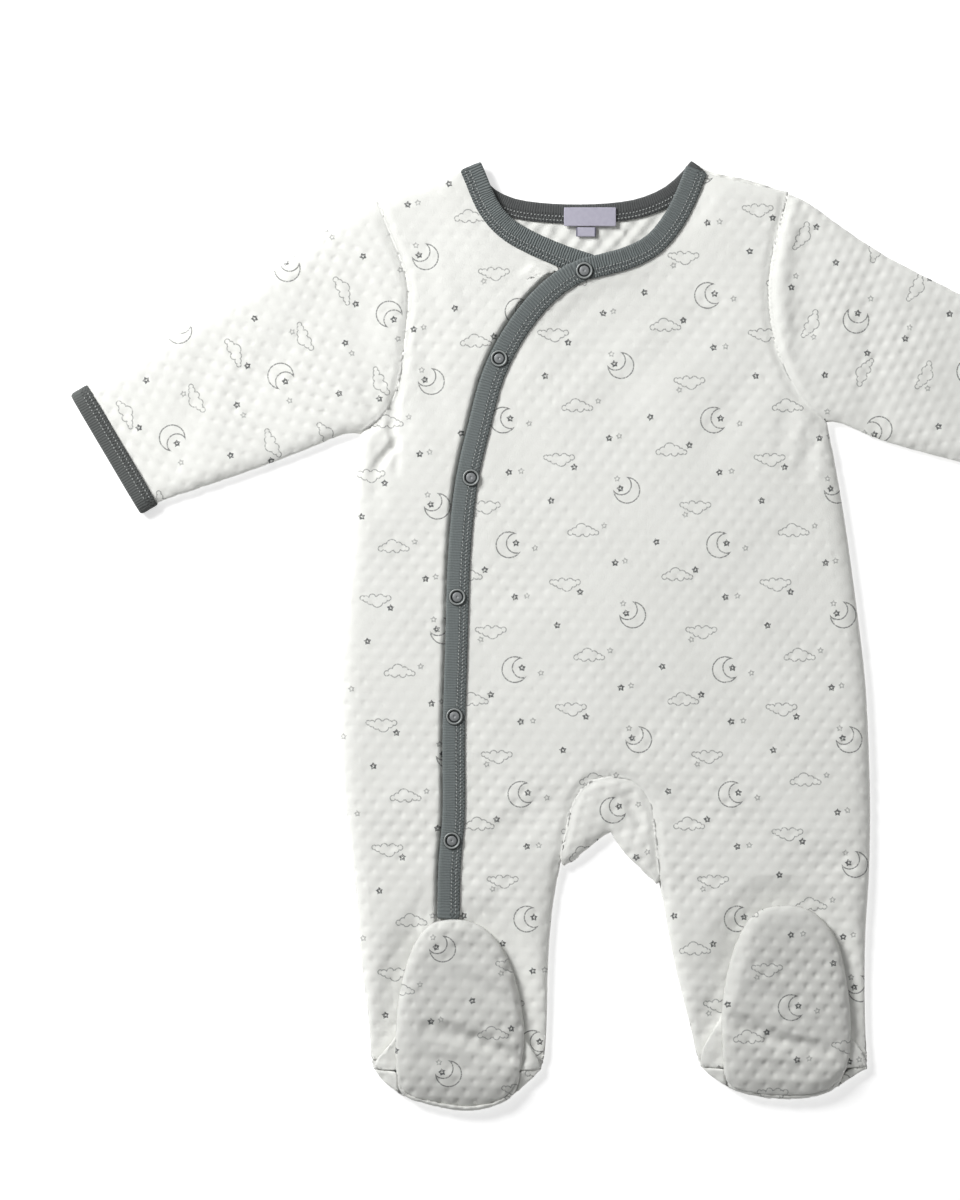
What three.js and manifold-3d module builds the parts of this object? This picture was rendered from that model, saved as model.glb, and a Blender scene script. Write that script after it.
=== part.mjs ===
// Footed baby sleepsuit, laid flat on its back and snapped shut. Millimetres, +Z up.
// +X runs to the wearer's left, +Y to the neck, and the floor is z = 0.
import * as THREE from "three";
import Module from "manifold-3d";

// Thickness of the materials
const CLOTH = 1.8;
const CLOTH_BOUND = 0.9;
const CLOTH_UNDERLAP = 1.4;
const CLOTH_CUFF = 1.2;
const CLOTH_SHIN = 1.0;
const RIB = 1.0;

// Heights over the floor
const FOLD_Z = 3.0;
const FOLD_HALF = 0.2;
const PLATEAU = 7.1;
const SHIN_Z = 4.2;
const FOOT_UPPER_Z = 6.3;
const SOLE_EDGE_Z = 6.6;
const SOLE_TOP_Z = 11.2;
const UNDERLAP_Z = 3.5;

// Widths in plan
const SEAM = 0.35;
const ROLL_FRONT = 9;
const ROLL_BACK = 6;
const BINDING = 12.2;
const BACK_BINDING = 10.5;
const SLOT_DEPTH = 10.6;
const SLOT_GAP = 0.25;
const BOUND_DEPTH = 10.2;
const BINDING_STACK = 3.4;
const CUFF = 11;
const EDGE_STEPS = [0, 1, 3, 6, 10];
const FLATNESS = 0.01;

const COLOURS = { cloth: 0xf1f1ec, rib: 0x636b6a, metal: 0x7b8381, label: 0xb9b6c8 };

// Outline of the laid garment, seen from above
const SHOULDER_RIGHT = [
  { x: -73.4, y: 140.9 },
  { x: -88.6, y: 136.1 },
  { x: -108.5, y: 130.1 },
  { x: -118.3, y: 125.8 },
];
const SHOULDER_LEFT = [
  { x: 59.9, y: 140.4 },
  { x: 81.0, y: 136.1 },
  { x: 103.1, y: 129.1 },
];
const SLEEVE_RIGHT_TOP = [
  { x: -118.3, y: 125.8 },
  { x: -130.1, y: 121.0 },
  { x: -151.7, y: 103.7 },
  { x: -184.1, y: 79.9 },
  { x: -227.3, y: 52.4 },
  { x: -273.8, y: 24.8 },
];
const SLEEVE_RIGHT_BOTTOM = [
  { x: -126.9, y: -1.1 },
  { x: -136.0, y: -1.5 },
  { x: -151.7, y: -8.1 },
  { x: -184.1, y: -20.6 },
  { x: -236.5, y: -38.3 },
];
const SLEEVE_LEFT_TOP = [
  { x: 103.1, y: 129.1 },
  { x: 111.8, y: 125.8 },
  { x: 131.8, y: 111.2 },
  { x: 153.4, y: 96.7 },
  { x: 185.8, y: 79.9 },
  { x: 266.8, y: 40.5 },
];
const SLEEVE_LEFT_BOTTOM = [
  { x: 124.2, y: 5.4 },
  { x: 133.9, y: 3.9 },
  { x: 149.0, y: -3.3 },
  { x: 184.1, y: -13.6 },
  { x: 237.1, y: -26.5 },
];
const ARMHOLE_RIGHT = [
  { x: -118.3, y: 125.8 },
  { x: -110.2, y: 105.3 },
  { x: -103.7, y: 89.1 },
  { x: -101.0, y: 74.0 },
  { x: -102.1, y: 57.8 },
  { x: -104.2, y: 38.9 },
  { x: -106.9, y: 22.7 },
  { x: -113.9, y: 9.2 },
  { x: -126.9, y: -1.1 },
];
const ARMHOLE_LEFT = [
  { x: 103.1, y: 129.1 },
  { x: 99.9, y: 116.1 },
  { x: 95.6, y: 98.8 },
  { x: 92.9, y: 81.0 },
  { x: 93.4, y: 63.7 },
  { x: 96.7, y: 46.4 },
  { x: 103.7, y: 28.6 },
  { x: 113.4, y: 15.1 },
  { x: 124.2, y: 5.4 },
];
const SIDE_RIGHT = [
  { x: -126.9, y: -1.1 },
  { x: -127.4, y: -9.7 },
  { x: -131.8, y: -47.5 },
  { x: -135.0, y: -90.7 },
  { x: -137.7, y: -133.9 },
  { x: -138.0, y: -155.5 },
  { x: -136.2, y: -190.0 },
  { x: -132.3, y: -220.3 },
  { x: -128.9, y: -255.0 },
  { x: -126.4, y: -285.1 },
  { x: -121.7, y: -325.0 },
  { x: -119.9, y: -344.5 },
];
const SIDE_LEFT = [
  { x: 124.2, y: 5.4 },
  { x: 127.4, y: -9.7 },
  { x: 133.9, y: -47.5 },
  { x: 139.9, y: -90.7 },
  { x: 145.0, y: -133.9 },
  { x: 146.7, y: -165.0 },
  { x: 147.7, y: -205.0 },
  { x: 147.0, y: -240.0 },
  { x: 145.1, y: -270.0 },
  { x: 144.7, y: -306.7 },
  { x: 145.8, y: -343.4 },
];
const INNER_LEG_RIGHT = [
  { x: -20.5, y: -237.1 },
  { x: -23.2, y: -252.7 },
  { x: -25.4, y: -274.3 },
  { x: -26.5, y: -300.0 },
  { x: -27.0, y: -325.0 },
  { x: -29.7, y: -344.5 },
];
const INNER_LEG_LEFT = [
  { x: 35.6, y: -248.4 },
  { x: 38.4, y: -265.0 },
  { x: 43.0, y: -289.0 },
  { x: 50.2, y: -317.5 },
  { x: 56.7, y: -343.4 },
];
const HEEL_RIGHT = [
  { x: -119.9, y: -344.5 },
  { x: -113.4, y: -352.1 },
  { x: -105.8, y: -356.9 },
  { x: -86.9, y: -363.4 },
  { x: -68.0, y: -366.1 },
  { x: -51.8, y: -362.3 },
  { x: -41.0, y: -354.8 },
  { x: -29.7, y: -344.5 },
];
const HEEL_LEFT = [
  { x: 56.7, y: -343.4 },
  { x: 68.0, y: -351.5 },
  { x: 83.2, y: -357.5 },
  { x: 99.4, y: -359.6 },
  { x: 116.6, y: -358.6 },
  { x: 130.7, y: -353.2 },
  { x: 145.8, y: -343.4 },
];
// The fold of the gusset between the legs, and its seam on the front and on the back
const CROTCH = [
  { x: -20.5, y: -237.1 },
  { x: -11.9, y: -231.1 },
  { x: -3.2, y: -224.6 },
  { x: 3.2, y: -219.2 },
  { x: 8.1, y: -216.5 },
  { x: 10.9, y: -222.0 },
  { x: 16.7, y: -229.5 },
  { x: 24.3, y: -236.0 },
  { x: 31.0, y: -242.5 },
  { x: 35.6, y: -248.4 },
];
const ARCH = [
  { x: -20.5, y: -237.1 },
  { x: -18.4, y: -224.6 },
  { x: -16.2, y: -214.9 },
  { x: -14.6, y: -206.8 },
  { x: -12.4, y: -199.8 },
  { x: -8.1, y: -192.2 },
  { x: -2.2, y: -187.4 },
  { x: 7.0, y: -185.8 },
  { x: 16.7, y: -186.8 },
  { x: 22.7, y: -190.1 },
  { x: 27.0, y: -194.9 },
  { x: 29.7, y: -200.9 },
  { x: 31.3, y: -209.5 },
  { x: 32.6, y: -223.0 },
  { x: 33.8, y: -236.0 },
  { x: 35.6, y: -248.4 },
];

// Body side of each rib binding, with the height of its underside
const WRAP = [
  { x: 59.9, y: 139.3, base: 3.7 },
  { x: 54.5, y: 125.3, base: 3.7 },
  { x: 45.9, y: 109.1, base: 4.1 },
  { x: 34.0, y: 95.6, base: 4.9 },
  { x: 19.4, y: 88.0, base: 5.8 },
  { x: 4.3, y: 83.7, base: 6.6 },
  { x: -7.6, y: 80.5, base: 6.9 },
  { x: -17.8, y: 74.0, base: 6.6 },
  { x: -28.1, y: 64.3, base: 5.7 },
  { x: -40.0, y: 48.1, base: 4.9 },
  { x: -49.7, y: 28.6, base: 4.9 },
  { x: -57.2, y: 1.1, base: 4.9 },
  { x: -63.7, y: -27.5, base: 4.9 },
  { x: -67.5, y: -63.7, base: 4.9 },
  { x: -69.1, y: -112.3, base: 4.9 },
  { x: -70.7, y: -166.3, base: 4.9 },
  { x: -70.7, y: -206.8, base: 4.9 },
  { x: -73.0, y: -235.4, base: 4.9 },
  { x: -73.4, y: -260.8, base: 3.8 },
];
const NECK_RIGHT = [
  { x: -73.4, y: 140.9, base: 3.7 },
  { x: -69.1, y: 130.7, base: 3.7 },
  { x: -65.9, y: 122.6, base: 3.7 },
  { x: -59.9, y: 112.9, base: 3.7 },
  { x: -51.3, y: 104.2, base: 3.4 },
  { x: -38.3, y: 96.7, base: 2.6 },
  { x: -20.5, y: 89.1, base: 2.1 },
  { x: -4.3, y: 83.7, base: 2.1 },
];
const NECK_BACK = [
  { x: -73.2, y: 140.9, base: 0 },
  { x: -69.2, y: 131.5, base: 0 },
  { x: -60.4, y: 122.2, base: 0 },
  { x: -47.5, y: 116.1, base: 0 },
  { x: -32.4, y: 113.4, base: 0 },
  { x: -10.5, y: 112.3, base: 0 },
  { x: 11.9, y: 113.4, base: 0 },
  { x: 26.5, y: 116.1, base: 0 },
  { x: 41.6, y: 122.6, base: 0 },
  { x: 52.0, y: 131.0, base: 0 },
  { x: 59.6, y: 139.9, base: 0 },
];

// Seam of each sole, toe first, round by the wearer's right side
const SOLE_RIGHT = [
  { x: -79.9, y: -262.6 },
  { x: -89.6, y: -265.3 },
  { x: -98.3, y: -276.5 },
  { x: -103.7, y: -292.7 },
  { x: -106.9, y: -309.4 },
  { x: -108.0, y: -328.3 },
  { x: -107.0, y: -346.1 },
  { x: -105.4, y: -356.6 },
  { x: -86.9, y: -363.2 },
  { x: -68.0, y: -365.9 },
  { x: -51.8, y: -362.1 },
  { x: -43.9, y: -356.6 },
  { x: -41.2, y: -344.5 },
  { x: -38.9, y: -325.6 },
  { x: -40.5, y: -308.3 },
  { x: -45.4, y: -289.4 },
  { x: -54.0, y: -273.2 },
  { x: -66.0, y: -264.3 },
];
const SOLE_LEFT = [
  { x: 98.8, y: -255.4 },
  { x: 86.9, y: -258.1 },
  { x: 77.8, y: -270.0 },
  { x: 71.3, y: -289.4 },
  { x: 68.0, y: -309.4 },
  { x: 68.2, y: -331.0 },
  { x: 69.4, y: -343.2 },
  { x: 70.5, y: -352.6 },
  { x: 83.2, y: -357.3 },
  { x: 99.4, y: -359.4 },
  { x: 116.6, y: -358.4 },
  { x: 129.4, y: -353.6 },
  { x: 135.0, y: -341.1 },
  { x: 137.2, y: -317.5 },
  { x: 134.5, y: -293.2 },
  { x: 128.0, y: -270.5 },
  { x: 113.9, y: -257.0 },
];
// Sections of each foot's top from toe to ankle, where it flares out to the side folds
const UPPER_RIGHT = [
  { y: -265.4, left: -78.5, right: -67.5 },
  { y: -268.5, left: -87.5, right: -60.5 },
  { y: -276.5, left: -95.2, right: -53.8 },
  { y: -289.4, left: -100.6, right: -47.4 },
  { y: -304.0, left: -104.0, right: -43.0 },
  { y: -318.0, left: -105.9, right: -41.0 },
  { y: -326.0, left: -107.6, right: -39.6 },
  { y: -334.0, left: -113.6, right: -34.4 },
  { y: -340.0, left: -119.6, right: -29.6 },
  { y: -343.6, left: -119.6, right: -29.9 },
];
const UPPER_LEFT = [
  { y: -258.4, left: 94.0, right: 104.5 },
  { y: -262.0, left: 86.5, right: 112.5 },
  { y: -270.0, left: 80.8, right: 123.0 },
  { y: -284.0, left: 75.8, right: 129.0 },
  { y: -298.0, left: 72.6, right: 132.6 },
  { y: -309.4, left: 70.2, right: 134.2 },
  { y: -318.0, left: 66.2, right: 135.2 },
  { y: -327.0, left: 60.6, right: 137.2 },
  { y: -335.0, left: 56.4, right: 144.4 },
  { y: -342.2, left: 56.8, right: 145.5 },
];

// The largest creases of the upper side: a trough, or a ridge where the depth is negative
const FOLDS = [
  { x0: -108.5, y0: 9.2, x1: -119.3, y1: -28.6, width: 7, depth: 1.6 },
  { x0: 139.9, y0: 17.3, x1: 153.4, y1: -4.3, width: 7, depth: 1.2 },
  { x0: 103.5, y0: 111.8, x1: 102.5, y1: 49.7, width: 7, depth: -0.9 },
  { x0: 118.3, y0: 103.7, x1: 112.2, y1: 55.1, width: 9, depth: 0.8 },
  { x0: -124.0, y0: -293.0, x1: -106.0, y1: -294.0, width: 7, depth: 1.0 },
  { x0: 16.7, y0: -197.1, x1: 23.8, y1: -211.7, width: 5, depth: 1.6 },
  { x0: 94.0, y0: -328.3, x1: 131.8, y1: -339.1, width: 7, depth: 1.3 },
  { x0: -89.6, y0: -333.7, x1: -48.0, y1: -336.0, width: 8, depth: 1.3 },
  { x0: -92.0, y0: -293.0, x1: -60.0, y1: -308.0, width: 9, depth: 0.7 },
];

const SNAP_CENTRES = [
  { x: -6.5, y: 86.6 },
  { x: -52.4, y: 39.4 },
  { x: -67.5, y: -24.8 },
  { x: -74.9, y: -89.1 },
  { x: -76.4, y: -153.4 },
  { x: -77.8, y: -220.3 },
];
const SNAP = { outer: 4.75, inner: 3.0, height: 0.9, post: 3.8, postHeight: 0.7 };

const clamp = (t) => Math.min(1, Math.max(0, t));
const smooth = (t) => clamp(t) ** 2 * (3 - 2 * clamp(t));
const mix = (a, b, t) => a + (b - a) * t;
const mixPoint = (a, b, t) => [mix(a[0], b[0], t), mix(a[1], b[1], t)];
const gap = (a, b) => Math.hypot(a[0] - b[0], a[1] - b[1]);

// A smooth line through the rows of a table, measured by length along it
function lineOf(rows, freeSide = 1, closed = false) {
  const spline = new THREE.CatmullRomCurve3(
    rows.map((row) => new THREE.Vector3(row.x, row.y, row.base ?? 0)),
    closed,
    "centripetal",
  );
  const fine = 8;
  const spans = closed ? rows.length : rows.length - 1;
  const points = spline.getPoints(spans * fine);
  const lengths = [0];
  for (let i = 1; i < points.length; i += 1) {
    const step = Math.hypot(points[i].x - points[i - 1].x, points[i].y - points[i - 1].y);
    lengths.push(lengths[i - 1] + step);
  }
  return { points, lengths, total: lengths.at(-1), fine, freeSide };
}

function lengthAtRow(line, row) {
  const place = row * line.fine;
  const low = Math.min(Math.floor(place), line.lengths.length - 2);
  return mix(line.lengths[low], line.lengths[low + 1], place - low);
}

// Point, direction to the free side, and height of the underside, at a length along the line
function station(line, length) {
  const { points, lengths } = line;
  let i = 1;
  while (i < lengths.length - 1 && lengths[i] < length) i += 1;
  const share = (length - lengths[i - 1]) / (lengths[i] - lengths[i - 1]);
  const p = new THREE.Vector3().lerpVectors(points[i - 1], points[i], share);
  const before = points[Math.max(0, i - 3)];
  const after = points[Math.min(points.length - 1, i + 2)];
  const run = Math.hypot(after.x - before.x, after.y - before.y);
  const nx = (-(after.y - before.y) / run) * line.freeSide;
  const ny = ((after.x - before.x) / run) * line.freeSide;
  return { at: [p.x, p.y], free: [nx, ny], base: p.z };
}

const pointAt = (line, length) => station(line, length).at;
const moved = (st, across) => [st.at[0] + st.free[0] * across, st.at[1] + st.free[1] * across];

// The nearest place of a line: distance, distance towards the free side, and base there
function nearest(line, x, y) {
  const { points } = line;
  let best = { distance: Infinity };
  for (let i = 1; i < points.length; i += 1) {
    const a = points[i - 1];
    const b = points[i];
    const dx = b.x - a.x;
    const dy = b.y - a.y;
    const along = ((x - a.x) * dx + (y - a.y) * dy) / (dx * dx + dy * dy);
    const t = clamp(along);
    const distance = Math.hypot(x - a.x - dx * t, y - a.y - dy * t);
    if (distance >= best.distance) continue;
    const side = Math.sign(dx * (y - a.y) - dy * (x - a.x)) * line.freeSide;
    const ends = i === points.length - 1 && !line.endless;
    const past = ends ? Math.max(0, along - 1) * Math.hypot(dx, dy) : 0;
    best = { distance, across: distance * side, base: mix(a.z, b.z, t), past };
  }
  return best;
}

// Distance from a closed outline, negative inside it
function outsideOf(outline, x, y) {
  let inside = false;
  let distance = Infinity;
  for (let i = 0; i < outline.length; i += 1) {
    const a = outline[i];
    const b = outline[(i + 1) % outline.length];
    const dx = b[0] - a[0];
    const dy = b[1] - a[1];
    const t = clamp(((x - a[0]) * dx + (y - a[1]) * dy) / (dx * dx + dy * dy || 1));
    distance = Math.min(distance, Math.hypot(x - a[0] - dx * t, y - a[1] - dy * t));
    if (a[1] > y !== b[1] > y && x < a[0] + (dx * (y - a[1])) / dy) inside = !inside;
  }
  return inside ? -distance : distance;
}

const shoulderRight = lineOf(SHOULDER_RIGHT);
const shoulderLeft = lineOf(SHOULDER_LEFT);
const sleeveRightTop = lineOf(SLEEVE_RIGHT_TOP);
const sleeveRightBottom = lineOf(SLEEVE_RIGHT_BOTTOM);
const sleeveLeftTop = lineOf(SLEEVE_LEFT_TOP);
const sleeveLeftBottom = lineOf(SLEEVE_LEFT_BOTTOM);
const armholeRight = lineOf(ARMHOLE_RIGHT);
const armholeLeft = lineOf(ARMHOLE_LEFT);
const sideRight = lineOf(SIDE_RIGHT);
const sideLeft = lineOf(SIDE_LEFT);
const innerLegRight = lineOf(INNER_LEG_RIGHT);
const innerLegLeft = lineOf(INNER_LEG_LEFT);
const heelRight = lineOf(HEEL_RIGHT);
const heelLeft = lineOf(HEEL_LEFT);
const crotch = lineOf(CROTCH);
const arch = lineOf(ARCH);
const wrap = lineOf(WRAP, -1);
const neckRight = lineOf(NECK_RIGHT);
const neckBack = { ...lineOf(NECK_BACK), endless: true };

const FOLDED_EDGES = [
  shoulderRight,
  shoulderLeft,
  sleeveRightTop,
  sleeveRightBottom,
  sleeveLeftTop,
  sleeveLeftBottom,
  sideRight,
  sideLeft,
  innerLegRight,
  innerLegLeft,
  heelRight,
  heelLeft,
  crotch,
];
const outlineOf = (rows) => [
  ...rows.map((row) => [row.left, row.y]),
  ...rows.toReversed().map((row) => [row.right, row.y]),
];
const FEET = [outlineOf(UPPER_RIGHT), outlineOf(UPPER_LEFT)];

// Plan distance to the nearest side fold of the laid garment
const fromFold = (x, y) => Math.min(...FOLDED_EDGES.map((line) => nearest(line, x, y).distance));

// Quarter-ellipse that takes the cloth from a side fold up to its flat part
const rollUp = (u) => (u >= 1 ? 1 : Math.sqrt(1 - (1 - Math.max(0, u)) ** 2));

function creases(x, y) {
  let depth = 0;
  for (const fold of FOLDS) {
    const dx = fold.x1 - fold.x0;
    const dy = fold.y1 - fold.y0;
    const t = clamp(((x - fold.x0) * dx + (y - fold.y0) * dy) / (dx * dx + dy * dy));
    const away = Math.hypot(x - fold.x0 - dx * t, y - fold.y0 - dy * t) / fold.width;
    if (away < 1) depth += fold.depth * (1 - away * away) ** 2;
  }
  return depth;
}

// How far the leg is pressed by the foot that lies on it: 1 below the foot, 0 away from it
function underFoot(x, y) {
  const foot = Math.min(...FEET.map((outline) => outsideOf(outline, x, y)));
  return 1 - smooth((foot - 7) / 12);
}

// Height of the upper side where nothing binds it, pressed down round the folded feet
function pillow(x, y, half) {
  const d = fromFold(x, y);
  const low = FOLD_Z + half;
  const free = low + (PLATEAU - low) * rollUp(d / ROLL_FRONT) - creases(x, y) * clamp(d / 6);
  return mix(free, Math.min(free, SHIN_Z), underFoot(x, y));
}

// How far a binding holds the panel that it is sewn to: 1 in the binding, 0 away from it
const held = (place, reach) =>
  (1 - smooth((-place.across - 0.3) / reach)) * (1 - smooth(place.past / 3));

function underside(x, y, half) {
  const free = (FOLD_Z - half) * (1 - rollUp(fromFold(x, y) / ROLL_BACK));
  return mix(free, RIB + SLOT_GAP, held(nearest(neckBack, x, y), 8));
}

function frontLeftZ(x, y) {
  const place = nearest(wrap, x, y);
  const bound = place.base + RIB + SLOT_GAP + CLOTH_BOUND;
  return mix(pillow(x, y, FOLD_HALF), bound, held(place, 11));
}

function frontRightZ(x, y) {
  const under = nearest(wrap, x, y);
  const neck = nearest(neckRight, x, y);
  const lap = smooth((BINDING + 8 - under.across) / 8) * (y < 92 ? 1 : 0);
  const free = mix(pillow(x, y, FOLD_HALF), Math.min(UNDERLAP_Z, SHIN_Z), lap);
  return mix(free, neck.base + RIB + SLOT_GAP + CLOTH_BOUND, held(neck, 8));
}

const thickLeg = (x, y) =>
  mix(CLOTH, CLOTH_SHIN, underFoot(x, y) * (1 - smooth((fromFold(x, y) - 4) / 4)));
const thickFrontLeft = (x, y) =>
  mix(thickLeg(x, y), CLOTH_BOUND, held(nearest(wrap, x, y), 3.2));
const thickBack = (x, y) => mix(CLOTH, CLOTH_BOUND, held(nearest(neckBack, x, y), 8));
function thickFrontRight(x, y) {
  const under = nearest(wrap, x, y).across;
  const neck = nearest(neckRight, x, y);
  const lap = smooth((BINDING + 4 - under) / 4) * (y < 92 ? 1 : 0);
  return mix(mix(thickLeg(x, y), CLOTH_UNDERLAP, lap), CLOTH_BOUND, held(neck, 3.2));
}

// Index of the triangles of a grid of points, with rows down the cloth and columns across it
function meshOf(grids) {
  const index = new Map();
  const points = [];
  const faces = [];
  const idOf = (p) => {
    const key = `${p.x.toFixed(3)},${p.y.toFixed(3)},${p.z.toFixed(3)}`;
    if (!index.has(key)) {
      index.set(key, points.length);
      points.push(p.clone());
    }
    return index.get(key);
  };
  const add = (a, b, c) => {
    if (a !== b && b !== c && c !== a) faces.push([a, b, c]);
  };
  for (const grid of grids) {
    for (let i = 0; i + 1 < grid.length; i += 1) {
      for (let j = 0; j + 1 < grid[i].length; j += 1) {
        const [a, b] = [idOf(grid[i][j]), idOf(grid[i][j + 1])];
        const [d, c] = [idOf(grid[i + 1][j]), idOf(grid[i + 1][j + 1])];
        const across = points[a].distanceTo(points[c]) <= points[b].distanceTo(points[d]);
        if (across) {
          add(a, d, c);
          add(a, c, b);
        } else {
          add(a, d, b);
          add(d, c, b);
        }
      }
    }
  }
  return { points, faces };
}

function signedVolume(points, faces, centre) {
  let six = 0;
  const [p, q, r] = [new THREE.Vector3(), new THREE.Vector3(), new THREE.Vector3()];
  for (const [a, b, c] of faces) {
    p.subVectors(points[a], centre);
    q.subVectors(points[b], centre);
    r.subVectors(points[c], centre);
    six += p.dot(q.cross(r));
  }
  return six;
}

function meanOf(points) {
  const mean = new THREE.Vector3();
  for (const p of points) mean.add(p);
  return mean.divideScalar(points.length);
}

function normalsOf(points, faces) {
  const normals = points.map(() => new THREE.Vector3());
  const [u, v] = [new THREE.Vector3(), new THREE.Vector3()];
  for (const [a, b, c] of faces) {
    u.subVectors(points[b], points[a]);
    v.subVectors(points[c], points[a]);
    u.cross(v);
    for (const id of [a, b, c]) normals[id].add(u);
  }
  return normals;
}

const group = new THREE.Group();
group.name = "sleepsuit";

const wasm = await Module();
wasm.setup();

// A named mesh, with the triangles of its flat parts merged into fewer
function place(name, colour, points, faces) {
  const solid = new wasm.Manifold(
    new wasm.Mesh({
      numProp: 3,
      vertProperties: new Float32Array(points.flatMap((p) => [p.x, p.y, p.z])),
      triVerts: new Uint32Array(faces.flat()),
    }),
  ).simplify(FLATNESS);
  const made = solid.getMesh();
  const geometry = new THREE.BufferGeometry();
  geometry.setAttribute("position", new THREE.BufferAttribute(made.vertProperties, 3));
  geometry.setIndex(new THREE.BufferAttribute(made.triVerts, 1));
  geometry.computeVertexNormals();
  const material = new THREE.MeshStandardMaterial({ color: colour, roughness: 0.9 });
  const mesh = new THREE.Mesh(geometry, material);
  mesh.name = name;
  group.add(mesh);
}

// A wall of cloth: the outer side is given, and the inner side lies one thickness within it.
// At a side fold that is sewn, the edge is cut level, so that the two halves lie 0.3 mm apart.
function wall(name, colour, grids, facing, thick = () => CLOTH, level = () => false) {
  const { points, faces } = meshOf(grids);
  let outward = 0;
  if (facing === "out") outward = signedVolume(points, faces, meanOf(points));
  else {
    for (const n of normalsOf(points, faces)) outward += n.z;
    if (facing === "down") outward = -outward;
  }
  if (outward < 0) for (const face of faces) face.reverse();
  const normals = normalsOf(points, faces);
  const uses = new Map();
  for (const face of faces) {
    face.forEach((a, k) => {
      const b = face[(k + 1) % 3];
      uses.set(`${a},${b}`, [a, b]);
    });
  }
  const rim = [...uses.values()].filter(([a, b]) => !uses.has(`${b},${a}`));
  const onRim = new Set(rim.flat());
  const inner = points.map((p, id) => {
    const n = normals[id].clone();
    if (onRim.has(id) && level(p.x, p.y)) n.z = 0;
    return p.clone().addScaledVector(n.normalize(), -thick(p.x, p.y));
  });
  const count = points.length;
  const all = [...faces];
  for (const [a, b, c] of faces) all.push([c + count, b + count, a + count]);
  for (const [a, b] of rim) all.push([b, a, a + count], [b, a + count, b + count]);
  return place(name, colour, [...points, ...inner], all);
}

// A closed section swept through a list of rings, capped or joined end to end
function sweep(name, colour, rings, section, joined) {
  const points = rings.flat();
  const count = rings[0].length;
  const faces = [];
  const spans = joined ? rings.length : rings.length - 1;
  for (let i = 0; i < spans; i += 1) {
    for (let j = 0; j < count; j += 1) {
      const a = i * count + j;
      const b = i * count + ((j + 1) % count);
      const c = ((i + 1) % rings.length) * count + ((j + 1) % count);
      const d = ((i + 1) % rings.length) * count + j;
      faces.push([a, b, c], [a, c, d]);
    }
  }
  if (!joined) {
    const cap = THREE.ShapeUtils.triangulateShape(
      section.map(([u, v]) => new THREE.Vector2(u, v)),
      [],
    );
    const last = (rings.length - 1) * count;
    for (const [a, b, c] of cap) faces.push([c, b, a], [a + last, b + last, c + last]);
  }
  if (signedVolume(points, faces, meanOf(points)) < 0) for (const face of faces) face.reverse();
  return place(name, colour, points, faces);
}

// Rib binding: one strip folded over the cloth's edge, with the cloth's slot between its halves
function bindingSection(width) {
  const slot = SLOT_DEPTH - (BINDING - width);
  const top = BINDING_STACK;
  return [
    [0, 0],
    [width - 0.8, 0],
    [width, 0.8],
    [width, top - 0.8],
    [width - 0.8, top],
    [0.4, top],
    [0, top - 0.3],
    [0, top - RIB],
    [slot, top - RIB],
    [slot, RIB],
    [0, RIB],
  ];
}

function binding(name, line, width, steps) {
  const section = bindingSection(width);
  const rings = [];
  for (let i = 0; i <= steps; i += 1) {
    const st = station(line, (line.total * i) / steps);
    rings.push(
      section.map(([across, up]) => {
        const [x, y] = moved(st, across);
        return new THREE.Vector3(x, y, st.base + up);
      }),
    );
  }
  return sweep(name, COLOURS.rib, rings, section, false);
}

const raise = (row, height) => row.map(([x, y]) => new THREE.Vector3(x, y, height(x, y)));

// Places along a row of the given width: close together at its ends
function spread(width, near, mids, far) {
  const start = near.filter((d) => d < width * 0.45);
  const end = far.filter((d) => d < width * 0.45).map((d) => width - d);
  const first = near.at(-1) < width * 0.45 ? near.at(-1) : 0;
  const last = far.at(-1) < width * 0.45 ? width - far.at(-1) : width;
  if (start.length < near.length || end.length < far.length) {
    const all = near.length + mids + far.length;
    return Array.from({ length: all }, (_, i) => i / (all - 1));
  }
  const middle = Array.from({ length: mids }, (_, i) => mix(first, last, (i + 1) / (mids + 1)));
  return [...start, ...middle, ...end.toReversed()].map((d) => d / width);
}

// The first place, going from one point to another, where a measure falls to a target
function reach(from, to, measure, target) {
  let low = 0;
  const steps = 60;
  for (let i = 1; i <= steps; i += 1) {
    if (measure(mixPoint(from, to, i / steps)) <= target) break;
    low = i / steps;
  }
  let high = Math.min(1, low + 1 / steps);
  for (let i = 0; i < 20; i += 1) {
    const t = (low + high) / 2;
    if (measure(mixPoint(from, to, t)) <= target) high = t;
    else low = t;
  }
  return mixPoint(from, to, high);
}

// Shares of the armhole's length that the panels and the sleeve have in common
const ARM_STEPS = 11;
function armPlaces(line) {
  const places = [...EDGE_STEPS];
  for (let k = 1; k <= ARM_STEPS; k += 1) places.push(mix(10, line.total - 10, k / ARM_STEPS));
  return [...places, line.total];
}

// Wearer's left front
const crotchRow = { wrap: lengthAtRow(wrap, 15.48), y: -185.8 };
const armpitOnWrap = lengthAtRow(wrap, 10.4);
const archTop = [ARCH[7].x, ARCH[7].y];
const archTopLength = lengthAtRow(arch, 7);
const TORSO_STEPS = 12;
const SPLIT = 0.356;
const LEFT_MIDS = 5;
const INNER_EDGE = [0, 1, 3, 6];
const ARCH_STEPS = 8;

function sideAt(line, y) {
  let low = 0;
  let high = line.total;
  for (let i = 0; i < 40; i += 1) {
    const half = (low + high) / 2;
    if (pointAt(line, half)[1] > y) low = half;
    else high = half;
  }
  return pointAt(line, low);
}

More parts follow.
